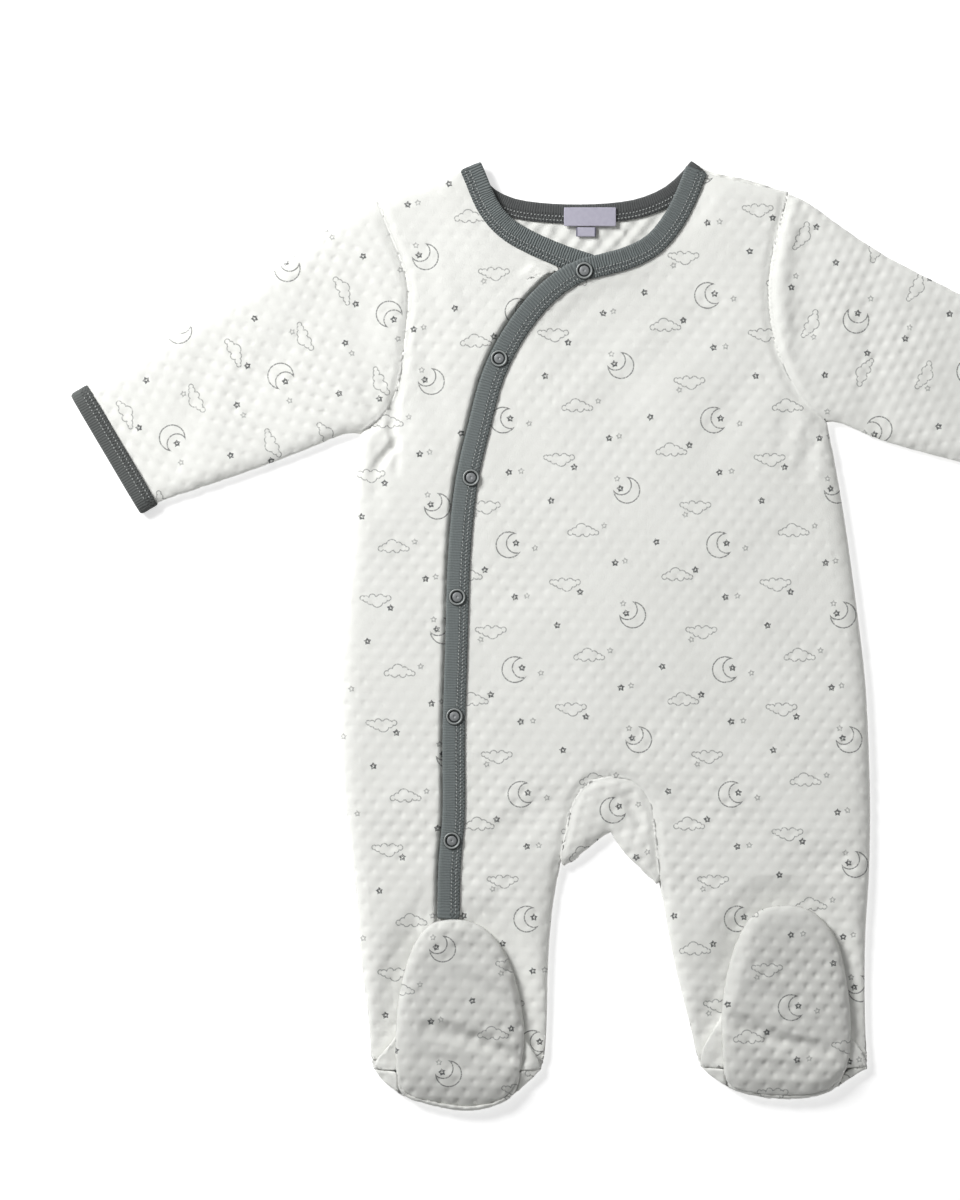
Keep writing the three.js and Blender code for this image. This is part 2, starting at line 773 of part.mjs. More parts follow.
function frontLeftRow(st, split, side, dense) {
  const start = moved(st, -3.5);
  const toSplit = gap(start, split);
  const left = spread(toSplit, [0], 4, INNER_EDGE);
  const even = left.map((_, i) => i / (left.length - 1));
  const right = spread(gap(split, side), INNER_EDGE, LEFT_MIDS, EDGE_STEPS);
  const evenRight = spread(gap(split, side), [0], LEFT_MIDS + 3, EDGE_STEPS);
  const row = [moved(st, BOUND_DEPTH), moved(st, -0.3)];
  left.forEach((t, i) => row.push(mixPoint(start, split, mix(even[i], t, dense))));
  right.slice(1).forEach((t, i) => {
    row.push(mixPoint(split, side, mix(evenRight[i + 1], t, dense)));
  });
  return row;
}

function buildFrontLeft() {
  const torso = [];
  armPlaces(armholeLeft).forEach((length, k) => {
    const onWrap = k < 5 ? length : mix(10, armpitOnWrap, (k - 4) / (ARM_STEPS + 1));
    const st = station(wrap, onWrap);
    const side = pointAt(armholeLeft, length);
    torso.push(frontLeftRow(st, mixPoint(moved(st, -3.5), side, SPLIT), side, 0));
  });
  for (let k = 1; k <= TORSO_STEPS; k += 1) {
    const t = k / TORSO_STEPS;
    const st = station(wrap, mix(armpitOnWrap, crotchRow.wrap, t));
    const side = sideAt(sideLeft, mix(5.4, crotchRow.y, t));
    const even = mixPoint(moved(st, -3.5), side, SPLIT);
    const split = mixPoint(even, archTop, smooth((t - 0.4) / 0.6));
    torso.push(frontLeftRow(st, split, side, smooth((t - 0.5) / 0.5)));
  }
  const rowCount = 2 + 5 + INNER_EDGE.length;
  const legRight = [torso.at(-1).slice(0, rowCount)];
  const wrapAtTip = lengthAtRow(wrap, 17);
  for (let k = 1; k <= ARCH_STEPS; k += 1) {
    const st = station(wrap, mix(crotchRow.wrap, wrapAtTip, k / ARCH_STEPS));
    const inner = pointAt(arch, archTopLength * (1 - k / ARCH_STEPS));
    legRight.push(legRightRow(moved(st, BOUND_DEPTH), moved(st, -0.3), moved(st, -3.5), inner));
  }
  for (const share of [0.5, 1.02]) {
    const st = station(wrap, mix(wrapAtTip, wrap.total, share));
    const inner = sideAt(innerLegRight, mix(-237.1, -260.8, share));
    legRight.push(legRightRow(moved(st, BOUND_DEPTH), moved(st, -0.3), moved(st, -3.5), inner));
  }
  for (const y of [-264.6, -275, -287, -300, -313, -326, -338.5]) {
    const inner = sideAt(innerLegRight, y);
    legRight.push(legRightRow([-78.6, y], [-75.0, y], [-71.8, y], inner));
  }
  const legLeft = [torso.at(-1).slice(rowCount - 1)];
  for (let k = 1; k <= ARCH_STEPS; k += 1) {
    const inner = pointAt(arch, mix(archTopLength, arch.total, k / ARCH_STEPS));
    const side = sideAt(sideLeft, mix(crotchRow.y, -247.0, k / ARCH_STEPS));
    legLeft.push(legLeftRow(inner, side));
  }
  for (const y of [-257, -267, -278, -290, -302, -314, -326, -338]) {
    legLeft.push(legLeftRow(sideAt(innerLegLeft, y), sideAt(sideLeft, y)));
  }
  const grids = [torso, legRight, legLeft].map((grid) => grid.map((row) => raise(row, frontLeftZ)));
  const level = (x, y) =>
    fromFold(x, y) < 0.05 && held(nearest(wrap, x, y), 11) < 0.8;
  wall("front_left", COLOURS.cloth, grids, "up", thickFrontLeft, level);
}

function legRightRow(edge, near, start, inner) {
  const places = spread(gap(start, inner), [0], 4, INNER_EDGE);
  return [edge, near, ...places.map((t) => mixPoint(start, inner, t))];
}

function legLeftRow(inner, side) {
  const places = spread(gap(inner, side), INNER_EDGE, LEFT_MIDS, EDGE_STEPS);
  return places.map((t) => mixPoint(inner, side, t));
}

// Wearer's right front, with the strip that lies under the wrap
const onWrapSide = (p) => nearest(wrap, p[0], p[1]).across;

function frontRightRow(side, lastThree) {
  const width = gap(side, lastThree[0]);
  const places = spread(width, EDGE_STEPS, 3, [0]);
  return [...places.map((t) => mixPoint(side, lastThree[0], t)), lastThree[1], lastThree[2]];
}

function buildFrontRight() {
  const rows = [];
  const places = armPlaces(armholeRight);
  const neckEnd = lengthAtRow(neckRight, 6);
  const neckRows = 5;
  const lapStart = lengthAtRow(wrap, 6.8);
  places.forEach((length, k) => {
    const side = pointAt(armholeRight, length);
    if (k < 5 + neckRows) {
      const onNeck = k < 5 ? length : mix(10, neckEnd, (k - 4) / neckRows);
      const st = station(neckRight, onNeck);
      rows.push(frontRightRow(side, [moved(st, -3.5), moved(st, -0.3), moved(st, BOUND_DEPTH)]));
      return;
    }
    if (k === 5 + neckRows) {
      rows.push(frontRightRow(side, [[-30.0, 84.5], [-23.0, 86.0], [-17.4, 86.8]]));
      return;
    }
    const t = (k - 6 - neckRows) / (places.length - 7 - neckRows);
    rows.push(lapRow(side, station(wrap, mix(lapStart, armpitOnWrap, t))));
  });
  for (let k = 1; k <= TORSO_STEPS; k += 1) {
    const t = k / TORSO_STEPS;
    const st = station(wrap, mix(armpitOnWrap, crotchRow.wrap, t));
    rows.push(lapRow(sideAt(sideRight, mix(-1.1, crotchRow.y, t)), st));
  }
  const wrapAtTip = lengthAtRow(wrap, 17);
  for (let k = 1; k <= 5; k += 1) {
    const st = station(wrap, mix(crotchRow.wrap, wrapAtTip, k / 5));
    rows.push(lapRow(sideAt(sideRight, mix(crotchRow.y, -237.1, k / 5)), st));
  }
  const midSide = sideAt(sideRight, -247);
  rows.push(lapRow(midSide, station(wrap, mix(wrapAtTip, wrap.total, 0.5))));
  for (const y of [-258, -264.6, -275, -287, -300, -313, -326, -338.5]) {
    const side = sideAt(sideRight, y);
    rows.push(frontRightRow(side, [[-93.5, y], [-85.5, y], [-81.0, y]]));
  }
  const grid = rows.map((row) => raise(row, frontRightZ));
  const level = (x, y) =>
    fromFold(x, y) < 0.05 && held(nearest(neckRight, x, y), 8) < 0.8;
  wall("front_right", COLOURS.cloth, [grid], "up", thickFrontRight, level);
}

// A row whose last three places are the start of the dip, the binding's free edge and the end
function lapRow(side, st) {
  const end = moved(st, 1);
  const dip = reach(side, end, (p) => onWrapSide(p), BINDING + 8);
  const free = reach(side, end, (p) => onWrapSide(p), BINDING);
  return frontRightRow(side, [dip, free, end]);
}

// Back, with both legs and the corners that wrap up at the heels
const NECK_COLUMNS = 10;
const LEG_MIDS = 6;

function backTop() {
  const right = EDGE_STEPS.map((d) => pointAt(shoulderRight, shoulderRight.total - d));
  const left = EDGE_STEPS.map((d) => pointAt(shoulderLeft, shoulderLeft.total - d));
  for (let k = 1; k <= 3; k += 1) {
    right.push(pointAt(shoulderRight, mix(shoulderRight.total - 10, 6, k / 3)));
    left.push(pointAt(shoulderLeft, mix(shoulderLeft.total - 10, 6, k / 3)));
  }
  right.push(pointAt(shoulderRight, 0.8));
  left.push(pointAt(shoulderLeft, 0.8));
  const neck = [];
  for (let k = 0; k <= NECK_COLUMNS; k += 1) {
    const st = station(neckBack, (neckBack.total * k) / NECK_COLUMNS);
    neck.push(moved(st, BACK_BINDING - 2.8));
  }
  const points = [...right, ...neck, ...left.toReversed()];
  return { points, first: right.length, last: right.length + neck.length - 1 };
}

// A column of the back from its top to the armpit row, straight, at the places of an armhole
function straightColumn(start, end, count) {
  const points = EDGE_STEPS.map((d) => mixPoint(start, end, d / gap(start, end)));
  const last = points.at(-1);
  for (let k = 1; k <= count - 5; k += 1) points.push(mixPoint(last, end, k / (count - 5)));
  return points;
}

// How far the places of an armhole stand off the straight column between its ends
function bowsOf(line) {
  const places = armPlaces(line).map((length) => pointAt(line, length));
  const straight = straightColumn(places[0], places.at(-1), places.length);
  return places.map((p, k) => [p[0] - straight[k][0], p[1] - straight[k][1]]);
}

function backUpper(armpitRow) {
  const top = backTop();
  const bowsRight = bowsOf(armholeRight);
  const bowsLeft = bowsOf(armholeLeft);
  const rows = bowsRight.map(() => []);
  const onNeck = (p) => nearest(neckBack, p[0], p[1]).across;
  top.points.forEach((start, j) => {
    const end = armpitRow[j];
    const column = straightColumn(start, end, rows.length);
    if (j >= top.first && j <= top.last) {
      const levels = [4.5, -0.3, -4, -9].map((target) => reach(start, end, onNeck, target));
      const below = straightColumn(levels.at(-1), end, rows.length).slice(4);
      column.splice(0, rows.length, start, ...levels, ...below.slice(1));
    }
    const fadeRight = 1 - smooth(gap(end, armpitRow[0]) / 40);
    const fadeLeft = 1 - smooth(gap(end, armpitRow.at(-1)) / 40);
    column.forEach((p, k) => {
      rows[k].push([
        p[0] + bowsRight[k][0] * fadeRight + bowsLeft[k][0] * fadeLeft,
        p[1] + bowsRight[k][1] * fadeRight + bowsLeft[k][1] * fadeLeft,
      ]);
    });
  });
  return rows;
}

const legPlaces = (width, near, far) => spread(width, near, LEG_MIDS, far);

// Rows from a straight row of the leg down to the heel's fold, close together at the fold
function heelRows(row, heel, arcs) {
  const ends = arcs.map((length) => pointAt(heel, length));
  return [13, ...EDGE_STEPS.toReversed()].map((d, i) =>
    row.map((p, j) => {
      const run = gap(p, ends[j]);
      const away = i === 0 ? (run + Math.min(10, run * 0.75)) / 2 : d * Math.min(1, run / 13);
      return mixPoint(ends[j], p, away / run);
    }),
  );
}

// The back's corner that wraps up over the heel, a fan from the side fold to its point
function heelCorner(foldRow, point) {
  const rise = (x, y) => FOLD_Z + (SOLE_EDGE_Z - FOLD_Z) * rollUp(fromFold(x, y) / 6);
  const rows = [0.15, 0.45, 1].map((share) =>
    raise(foldRow.map((p) => mixPoint([p.x, p.y], point, share)), rise),
  );
  return [foldRow, ...rows];
}

function buildBack() {
  const [sideA, sideB] = [pointAt(sideRight, 0), pointAt(sideLeft, 0)];
  const torsoPlaces = (width) => spread(width, EDGE_STEPS, 2 * LEG_MIDS + 7, EDGE_STEPS);
  const armpitRow = torsoPlaces(gap(sideA, sideB)).map((t) => mixPoint(sideA, sideB, t));
  const rows = backUpper(armpitRow);
  const steps = 8;
  for (let k = 1; k <= steps; k += 1) {
    const t = k / steps;
    const right = sideAt(sideRight, mix(-1.1, crotchRow.y, t));
    const left = sideAt(sideLeft, mix(5.4, crotchRow.y, t));
    const even = torsoPlaces(gap(right, left)).map((at) => mixPoint(right, left, at));
    const split = [
      ...legPlaces(gap(right, archTop), EDGE_STEPS, INNER_EDGE).map((at) => mixPoint(right, archTop, at)),
      ...legPlaces(gap(archTop, left), INNER_EDGE, EDGE_STEPS)
        .slice(1)
        .map((at) => mixPoint(archTop, left, at)),
    ];
    const dense = smooth((t - 0.4) / 0.6);
    rows.push(even.map((p, j) => mixPoint(p, split[j], dense)));
  }
  const half = (rows[0].length - 1) / 2;
  const rowBetween = (a, b, near, far) =>
    legPlaces(gap(a, b), near, far).map((t) => mixPoint(a, b, t));
  const legRight = [rows.at(-1).slice(0, half + 1)];
  const legLeft = [rows.at(-1).slice(half)];
  for (let k = 1; k <= ARCH_STEPS; k += 1) {
    const innerRight = pointAt(arch, archTopLength * (1 - k / ARCH_STEPS));
    const outerRight = sideAt(sideRight, mix(crotchRow.y, -237.1, k / ARCH_STEPS));
    legRight.push(rowBetween(outerRight, innerRight, EDGE_STEPS, INNER_EDGE));
    const innerLeft = pointAt(arch, mix(archTopLength, arch.total, k / ARCH_STEPS));
    const outerLeft = sideAt(sideLeft, mix(crotchRow.y, -247, k / ARCH_STEPS));
    legLeft.push(rowBetween(innerLeft, outerLeft, INNER_EDGE, EDGE_STEPS));
  }
  for (const y of [-256, -275, -294, -313, -332]) {
    const [outer, inner] = [sideAt(sideRight, y), sideAt(innerLegRight, y)];
    legRight.push(rowBetween(outer, inner, EDGE_STEPS, INNER_EDGE));
  }
  for (const y of [-264, -281, -298, -315, -331]) {
    const [inner, outer] = [sideAt(innerLegLeft, y), sideAt(sideLeft, y)];
    legLeft.push(rowBetween(inner, outer, INNER_EDGE, EDGE_STEPS));
  }
  const between = (from, to, count) =>
    Array.from({ length: count }, (_, i) => mix(from, to, (i + 1) / (count + 1)));
  const arcsRight = [0, 3, 7, 11, 15, 17.6];
  arcsRight.push(...between(17.6, heelRight.total - 15.3, LEG_MIDS - 1));
  arcsRight.push(...[15.3, 9.5, 4, 0].map((d) => heelRight.total - d));
  const arcsLeft = [0, 4, 9.5, 15.8];
  arcsLeft.push(...between(15.8, heelLeft.total - 17.2, LEG_MIDS - 1));
  arcsLeft.push(...[17.2, 14, 10.5, 7, 3, 0].map((d) => heelLeft.total - d));
  legRight.push(...heelRows(legRight.at(-1), heelRight, arcsRight));
  legLeft.push(...heelRows(legLeft.at(-1), heelLeft, arcsLeft));
  const height = (x, y) => underside(x, y, FOLD_HALF);
  const grids = [rows, legRight, legLeft].map((grid) => grid.map((row) => raise(row, height)));
  const [foldRight, foldLeft] = [grids[1].at(-1), grids[2].at(-1)];
  grids.push(
    heelCorner(foldRight.slice(0, 6), [-108.0, -345.6]),
    heelCorner(foldRight.slice(-4), [-40.5, -345.2]),
    heelCorner(foldLeft.slice(0, 4), [68.6, -344.2]),
    heelCorner(foldLeft.slice(-6), [135.3, -344.4]),
  );
  const level = (x, y) => fromFold(x, y) < 0.05 && held(nearest(neckBack, x, y), 8) < 0.8;
  wall("back", COLOURS.cloth, grids, "down", thickBack, level);
}

// Sleeves: flattened tubes, with rings from the armhole to the cuff
const RINGS = [0, 0.03, 0.08, 0.15, 0.24, 0.34, 0.45, 0.56, 0.67, 0.78, 0.9, 1];
const SLEEVE_LIFT = 1.25;
const SLEEVE_END_TOP = 6.6;
const SLEEVE_IN_CUFF = 9.5;
const CUFF_SECTION = [
  [0, 0.25],
  [0, 1.25],
  [CUFF - 0.8, 1.25],
  [CUFF, 0.5],
  [CUFF, -1.5],
  [9.9, -1.5],
  [9.9, 0.25],
];

function sleevePlaces(width) {
  const places = [...EDGE_STEPS];
  for (let k = 1; k <= ARM_STEPS; k += 1) places.push(mix(10, width - 10, k / ARM_STEPS));
  return [...places, width - 6, width - 3, width - 1, width].map((d) => d / width);
}

function sleeveRing(sleeve, share) {
  const { top, bottom, armhole, away } = sleeve;
  const onArmhole = (t) => moved(station(armhole, armhole.total * t), SEAM * away);
  const [startTop, startBottom] = [onArmhole(0), onArmhole(1)];
  const t0 = share === 0 ? startTop : pointAt(top, top.total * share);
  const b0 = share === 0 ? startBottom : pointAt(bottom, bottom.total * share);
  const decay = Math.max(0, 1 - share / 0.45) ** 2;
  const cuffShare = smooth((share - 0.8) / 0.2);
  const places = sleevePlaces(share === 0 ? armhole.total : gap(t0, b0));
  const plan = places.map((t) => {
    const straight = mixPoint(startTop, startBottom, t);
    const bowed = onArmhole(t);
    const p = mixPoint(t0, b0, t);
    return [p[0] + (bowed[0] - straight[0]) * decay, p[1] + (bowed[1] - straight[1]) * decay];
  });
  const fit = (z) =>
    mix(z, SLEEVE_LIFT + (z * (SLEEVE_END_TOP - SLEEVE_LIFT)) / PLATEAU, cuffShare);
  const ends = [0, plan.length - 1];
  const upper = plan.map(([x, y], i) =>
    new THREE.Vector3(x, y, fit(ends.includes(i) ? FOLD_Z : pillow(x, y, 0))),
  );
  const lower = plan.map(([x, y]) => {
    const z = FOLD_Z * (1 - rollUp(fromFold(x, y) / ROLL_BACK));
    return new THREE.Vector3(x, y, fit(z));
  });
  return [...upper, ...lower.slice(1, -1).toReversed()];
}

function ringNormals(ring, across) {
  const flat = ring.map((p) => [p.x * across[0] + p.y * across[1], p.z]);
  const middle = [0, 1].map((k) => flat.reduce((sum, p) => sum + p[k], 0) / flat.length);
  return flat.map((p, i) => {
    const before = flat.at(i - 1);
    const after = flat[(i + 1) % flat.length];
    const run = Math.hypot(after[0] - before[0], after[1] - before[1]);
    let n = [-(after[1] - before[1]) / run, (after[0] - before[0]) / run];
    if (n[0] * (p[0] - middle[0]) + n[1] * (p[1] - middle[1]) < 0) n = [-n[0], -n[1]];
    return new THREE.Vector3(n[0] * across[0], n[0] * across[1], n[1]);
  });
}

function buildSleeve(side, sleeve) {
  const rings = RINGS.map((share) => sleeveRing(sleeve, share));
  const last = rings.at(-1);
  const [from, to] = [last[0], last[sleevePlaces(100).length - 1]];
  const width = Math.hypot(to.x - from.x, to.y - from.y);
  const across = [(to.x - from.x) / width, (to.y - from.y) / width];
  let axis = [-across[1], across[0]];
  if (axis[0] * sleeve.reach < 0) axis = [-axis[0], -axis[1]];
  const out = new THREE.Vector3(axis[0], axis[1], 0);
  const inCuff = last.map((p) => p.clone().addScaledVector(out, SLEEVE_IN_CUFF));
  const grid = [...rings, inCuff].map((ring) => [...ring, ring[0]]);
  const middle = [(from.x + to.x) / 2, (from.y + to.y) / 2];
  const thick = (x, y) => {
    const before = -(x - middle[0]) * axis[0] - (y - middle[1]) * axis[1];
    return mix(CLOTH_CUFF, CLOTH, smooth(before / 25));
  };
  wall(`sleeve_${side}`, COLOURS.cloth, [grid], "out", thick);
  const normals = ringNormals(last, across);
  const sections = last.map((p, i) =>
    CUFF_SECTION.map(([along, off]) =>
      p.clone().addScaledVector(out, along).addScaledVector(normals[i], off),
    ),
  );
  sweep(`cuff_${side}`, COLOURS.rib, sections, CUFF_SECTION, true);
}

// Gusset: a diamond folded along the crotch, from its seam on the front to its seam on the back
function buildGusset() {
  const halves = [
    { onArch: [0, archTopLength], onFold: [0, lengthAtRow(crotch, 4)] },
    { onArch: [archTopLength, arch.total], onFold: [lengthAtRow(crotch, 4), crotch.total] },
  ];
  const rows = [];
  for (const { onArch, onFold } of halves) {
    for (let k = 0; k <= ARCH_STEPS; k += 1) {
      const t = k / ARCH_STEPS;
      const seam = pointAt(arch, mix(...onArch, t));
      const fold = pointAt(crotch, mix(...onFold, t));
      rows.push([mixPoint(seam, fold, SEAM / Math.max(1, gap(seam, fold))), fold]);
    }
  }
  rows.splice(ARCH_STEPS + 1, 1);
  const wide = rows.filter(([seam, fold]) => gap(seam, fold) > 2.4);
  const grid = wide.map(([seam, fold]) => {
    const plan = spread(gap(seam, fold), [0], 2, INNER_EDGE).map((t) => mixPoint(seam, fold, t));
    const upper = raise(plan, (x, y) => pillow(x, y, 0));
    const lower = raise(plan, (x, y) => FOLD_Z * (1 - rollUp(fromFold(x, y) / ROLL_BACK)));
    upper.at(-1).z = FOLD_Z;
    return [...upper, ...lower.slice(0, -1).toReversed()];
  });
  wall("gusset", COLOURS.cloth, [grid], "out");
}

const SPINE_NODES = 5;

// Feet: the top of the foot lies on the shin, and the sole lies on it and faces up
function buildFoot(side, upperRows, soleRows, spine, heelY) {
  const upper = upperRows.map((row) => {
    const [a, b] = [[row.left, row.y], [row.right, row.y]];
    return spread(gap(a, b), [0, 1, 3], 4, [0, 1, 3]).map((t) => mixPoint(a, b, t));
  });
  const low = SHIN_Z + 0.3;
  const upperZ = (x, y) => low + (FOOT_UPPER_Z - low) * rollUp((fromFold(x, y) - 0.3) / 4);
  const atFold = (x, y) => fromFold(x, y) < 0.8;
  const grid = upper.map((row) => raise(row, upperZ));
  const thick = (x, y) => mix(CLOTH_SHIN, CLOTH, clamp(fromFold(x, y) / 5));
  wall(`foot_upper_${side}`, COLOURS.cloth, [grid], "up", thick, atFold);

  const outline = lineOf(soleRows, 1, true);
  const around = 36;
  const rings = [...EDGE_STEPS, 17, 99].map((inset) => {
    const ring = [];
    for (let i = 0; i <= around; i += 1) {
      const edge = pointAt(outline, (outline.total * (i % around)) / around);
      const place = clamp((edge[1] - spine.from) / (spine.to - spine.from));
      const node = Math.round(place * SPINE_NODES) / SPINE_NODES;
      const onSpine = [spine.x, mix(spine.from, spine.to, node)];
      const run = gap(edge, onSpine);
      const [x, y] = mixPoint(edge, onSpine, Math.min(1, inset / run));
      const lowEdge = mix(SOLE_EDGE_Z, FOLD_Z + 0.15, smooth((heelY - edge[1]) / 9));
      const rise = rollUp(Math.min(inset, run) / ROLL_FRONT);
      const top = SOLE_TOP_Z - creases(x, y) * clamp(inset / 6);
      ring.push(new THREE.Vector3(x, y, mix(lowEdge, top, rise)));
    }
    return ring;
  });
  wall(`sole_${side}`, COLOURS.cloth, [rings], "up", () => CLOTH, () => true);
}

// Snaps: the ring on the wrap binding, and the post half on the layer below
function buildSnaps() {
  const ring = [
    [SNAP.inner, 0],
    [SNAP.outer - 0.3, 0],
    [SNAP.outer, 0.4],
    [SNAP.outer - 0.5, SNAP.height],
    [SNAP.inner, 0.6],
  ];
  SNAP_CENTRES.forEach(({ x, y }, i) => {
    const { base } = nearest(wrap, x, y);
    const onTop = base + BINDING_STACK + 0.35;
    const rings = Array.from({ length: 20 }, (_, k) => {
      const angle = (k / 20) * 2 * Math.PI;
      return ring.map(
        ([r, z]) => new THREE.Vector3(x + r * Math.cos(angle), y + r * Math.sin(angle), onTop + z),
      );
    });
    sweep(`snap_${i + 1}`, COLOURS.metal, rings, ring, true);
    const below = i === 0 ? 2.1 + BINDING_STACK : UNDERLAP_Z;
    const disc = [
      [0, below + 0.3],
      [0, below + 0.3 + SNAP.postHeight],
    ].map(([, z]) =>
      Array.from({ length: 16 }, (_, k) => {
        const angle = (k / 16) * 2 * Math.PI;
        return new THREE.Vector3(x + SNAP.post * Math.cos(angle), y + SNAP.post * Math.sin(angle), z);
      }),
    );
    const flat = disc[0].map((p) => [p.x, p.y]);
    sweep(`snap_post_${i + 1}`, COLOURS.metal, disc, flat, false);
  });
}

function buildTag(name, left, right, top, bottom, z) {
  const rows = [top, bottom].map((y) =>
    [left, right].map((x) => new THREE.Vector3(x, y, z)),
  );
  wall(name, COLOURS.label, [rows], "up", () => 1.0);
}

buildBack();
buildFrontRight();
buildFrontLeft();
buildSleeve("right", {
  top: sleeveRightTop,
  bottom: sleeveRightBottom,
  armhole: armholeRight,
  away: -1,
  reach: -1,
});
buildSleeve("left", {
  top: sleeveLeftTop,
  bottom: sleeveLeftBottom,
  armhole: armholeLeft,
  away: 1,
  reach: 1,
});
buildGusset();
binding("neck_binding_back", neckBack, BACK_BINDING, 20);
binding("neck_binding_right", neckRight, BINDING, 12);
binding("wrap_binding", wrap, BINDING, 64);
buildFoot("right", UPPER_RIGHT, SOLE_RIGHT, { x: -73.6, from: -286, to: -340 }, -345.5);
buildFoot("left", UPPER_LEFT, SOLE_LEFT, { x: 102.5, from: -282, to: -334 }, -344.8);
buildSnaps();
buildTag("label", -17.3, 10.8, 121.0, 110.9, 4.7);
buildTag("size_tab", -10.8, 0.0, 110.4, 105.3, 3.95);

export default group;
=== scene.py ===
# Footed baby sleepsuit, laid flat and seen from straight above. Millimetres are turned into
# metres only where Blender takes them; +X is the wearer's left and +Y is towards the neck.
import math

import bpy
import numpy as np
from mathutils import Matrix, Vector


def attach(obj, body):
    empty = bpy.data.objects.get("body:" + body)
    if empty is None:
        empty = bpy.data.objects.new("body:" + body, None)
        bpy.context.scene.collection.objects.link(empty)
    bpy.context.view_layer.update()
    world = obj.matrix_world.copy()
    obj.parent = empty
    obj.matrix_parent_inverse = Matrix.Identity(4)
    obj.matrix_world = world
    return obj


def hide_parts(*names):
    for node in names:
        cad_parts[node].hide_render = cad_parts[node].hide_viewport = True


MM = 0.001
TAU = 2 * math.pi
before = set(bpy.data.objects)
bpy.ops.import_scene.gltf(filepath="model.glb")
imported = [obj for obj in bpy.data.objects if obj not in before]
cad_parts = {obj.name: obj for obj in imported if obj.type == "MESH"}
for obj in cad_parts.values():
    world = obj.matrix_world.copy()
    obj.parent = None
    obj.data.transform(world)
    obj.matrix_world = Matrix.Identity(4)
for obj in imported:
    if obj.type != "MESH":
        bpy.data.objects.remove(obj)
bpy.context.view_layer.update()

# Camera, straight down, with a long lens: the frame is 518.4 by 648 mm on the surface
FRAME_CENTRE = (-62.6, -90.7)
FRAME_HEIGHT = 648.0
CAMERA_HEIGHT = 3000.0
camera_data = bpy.data.cameras.new("camera")
camera_data.sensor_fit = "VERTICAL"
camera_data.sensor_height = 36.0
camera_data.lens = 36.0 * CAMERA_HEIGHT / FRAME_HEIGHT
camera_data.clip_end = 20.0
camera = bpy.data.objects.new("camera", camera_data)
camera.location = (FRAME_CENTRE[0] * MM, FRAME_CENTRE[1] * MM, CAMERA_HEIGHT * MM)
bpy.context.scene.collection.objects.link(camera)
bpy.context.scene.camera = camera

# Body side of each rib binding, as in the part, with the height of its underside
WRAP = [
    (59.9, 139.3, 3.7), (54.5, 125.3, 3.7), (45.9, 109.1, 4.1), (34.0, 95.6, 4.9),
    (19.4, 88.0, 5.8), (4.3, 83.7, 6.6), (-7.6, 80.5, 6.9), (-17.8, 74.0, 6.6),
    (-28.1, 64.3, 5.7), (-40.0, 48.1, 4.9), (-49.7, 28.6, 4.9), (-57.2, 1.1, 4.9),
    (-63.7, -27.5, 4.9), (-67.5, -63.7, 4.9), (-69.1, -112.3, 4.9), (-70.7, -166.3, 4.9),
    (-70.7, -206.8, 4.9), (-73.0, -235.4, 4.9), (-73.4, -260.8, 3.8),
]
NECK_RIGHT = [
    (-73.4, 140.9, 3.7), (-69.1, 130.7, 3.7), (-65.9, 122.6, 3.7), (-59.9, 112.9, 3.7),
    (-51.3, 104.2, 3.4), (-38.3, 96.7, 2.6), (-20.5, 89.1, 2.1), (-4.3, 83.7, 2.1),
]
NECK_BACK = [
    (-73.2, 140.9, 0.0), (-69.2, 131.5, 0.0), (-60.4, 122.2, 0.0), (-47.5, 116.1, 0.0),
    (-32.4, 113.4, 0.0), (-10.5, 112.3, 0.0), (11.9, 113.4, 0.0), (26.5, 116.1, 0.0),
    (41.6, 122.6, 0.0), (52.0, 131.0, 0.0), (59.6, 139.9, 0.0),
]
ARMHOLE_RIGHT = [
    (-118.3, 125.8, 0), (-110.2, 105.3, 0), (-103.7, 89.1, 0), (-101.0, 74.0, 0),
    (-102.1, 57.8, 0), (-104.2, 38.9, 0), (-106.9, 22.7, 0), (-113.9, 9.2, 0),
    (-126.9, -1.1, 0),
]
ARMHOLE_LEFT = [
    (103.1, 129.1, 0), (99.9, 116.1, 0), (95.6, 98.8, 0), (92.9, 81.0, 0), (93.4, 63.7, 0),
    (96.7, 46.4, 0), (103.7, 28.6, 0), (113.4, 15.1, 0), (124.2, 5.4, 0),
]
ARCH = [
    (-20.5, -237.1, 0), (-18.4, -224.6, 0), (-16.2, -214.9, 0), (-14.6, -206.8, 0),
    (-12.4, -199.8, 0), (-8.1, -192.2, 0), (-2.2, -187.4, 0), (7.0, -185.8, 0),
    (16.7, -186.8, 0), (22.7, -190.1, 0), (27.0, -194.9, 0), (29.7, -200.9, 0),
    (31.3, -209.5, 0), (32.6, -223.0, 0), (33.8, -236.0, 0), (35.6, -248.4, 0),
]
BINDING_STACK = 3.4
FOLD_Z = 3.0
PLATEAU = 7.1

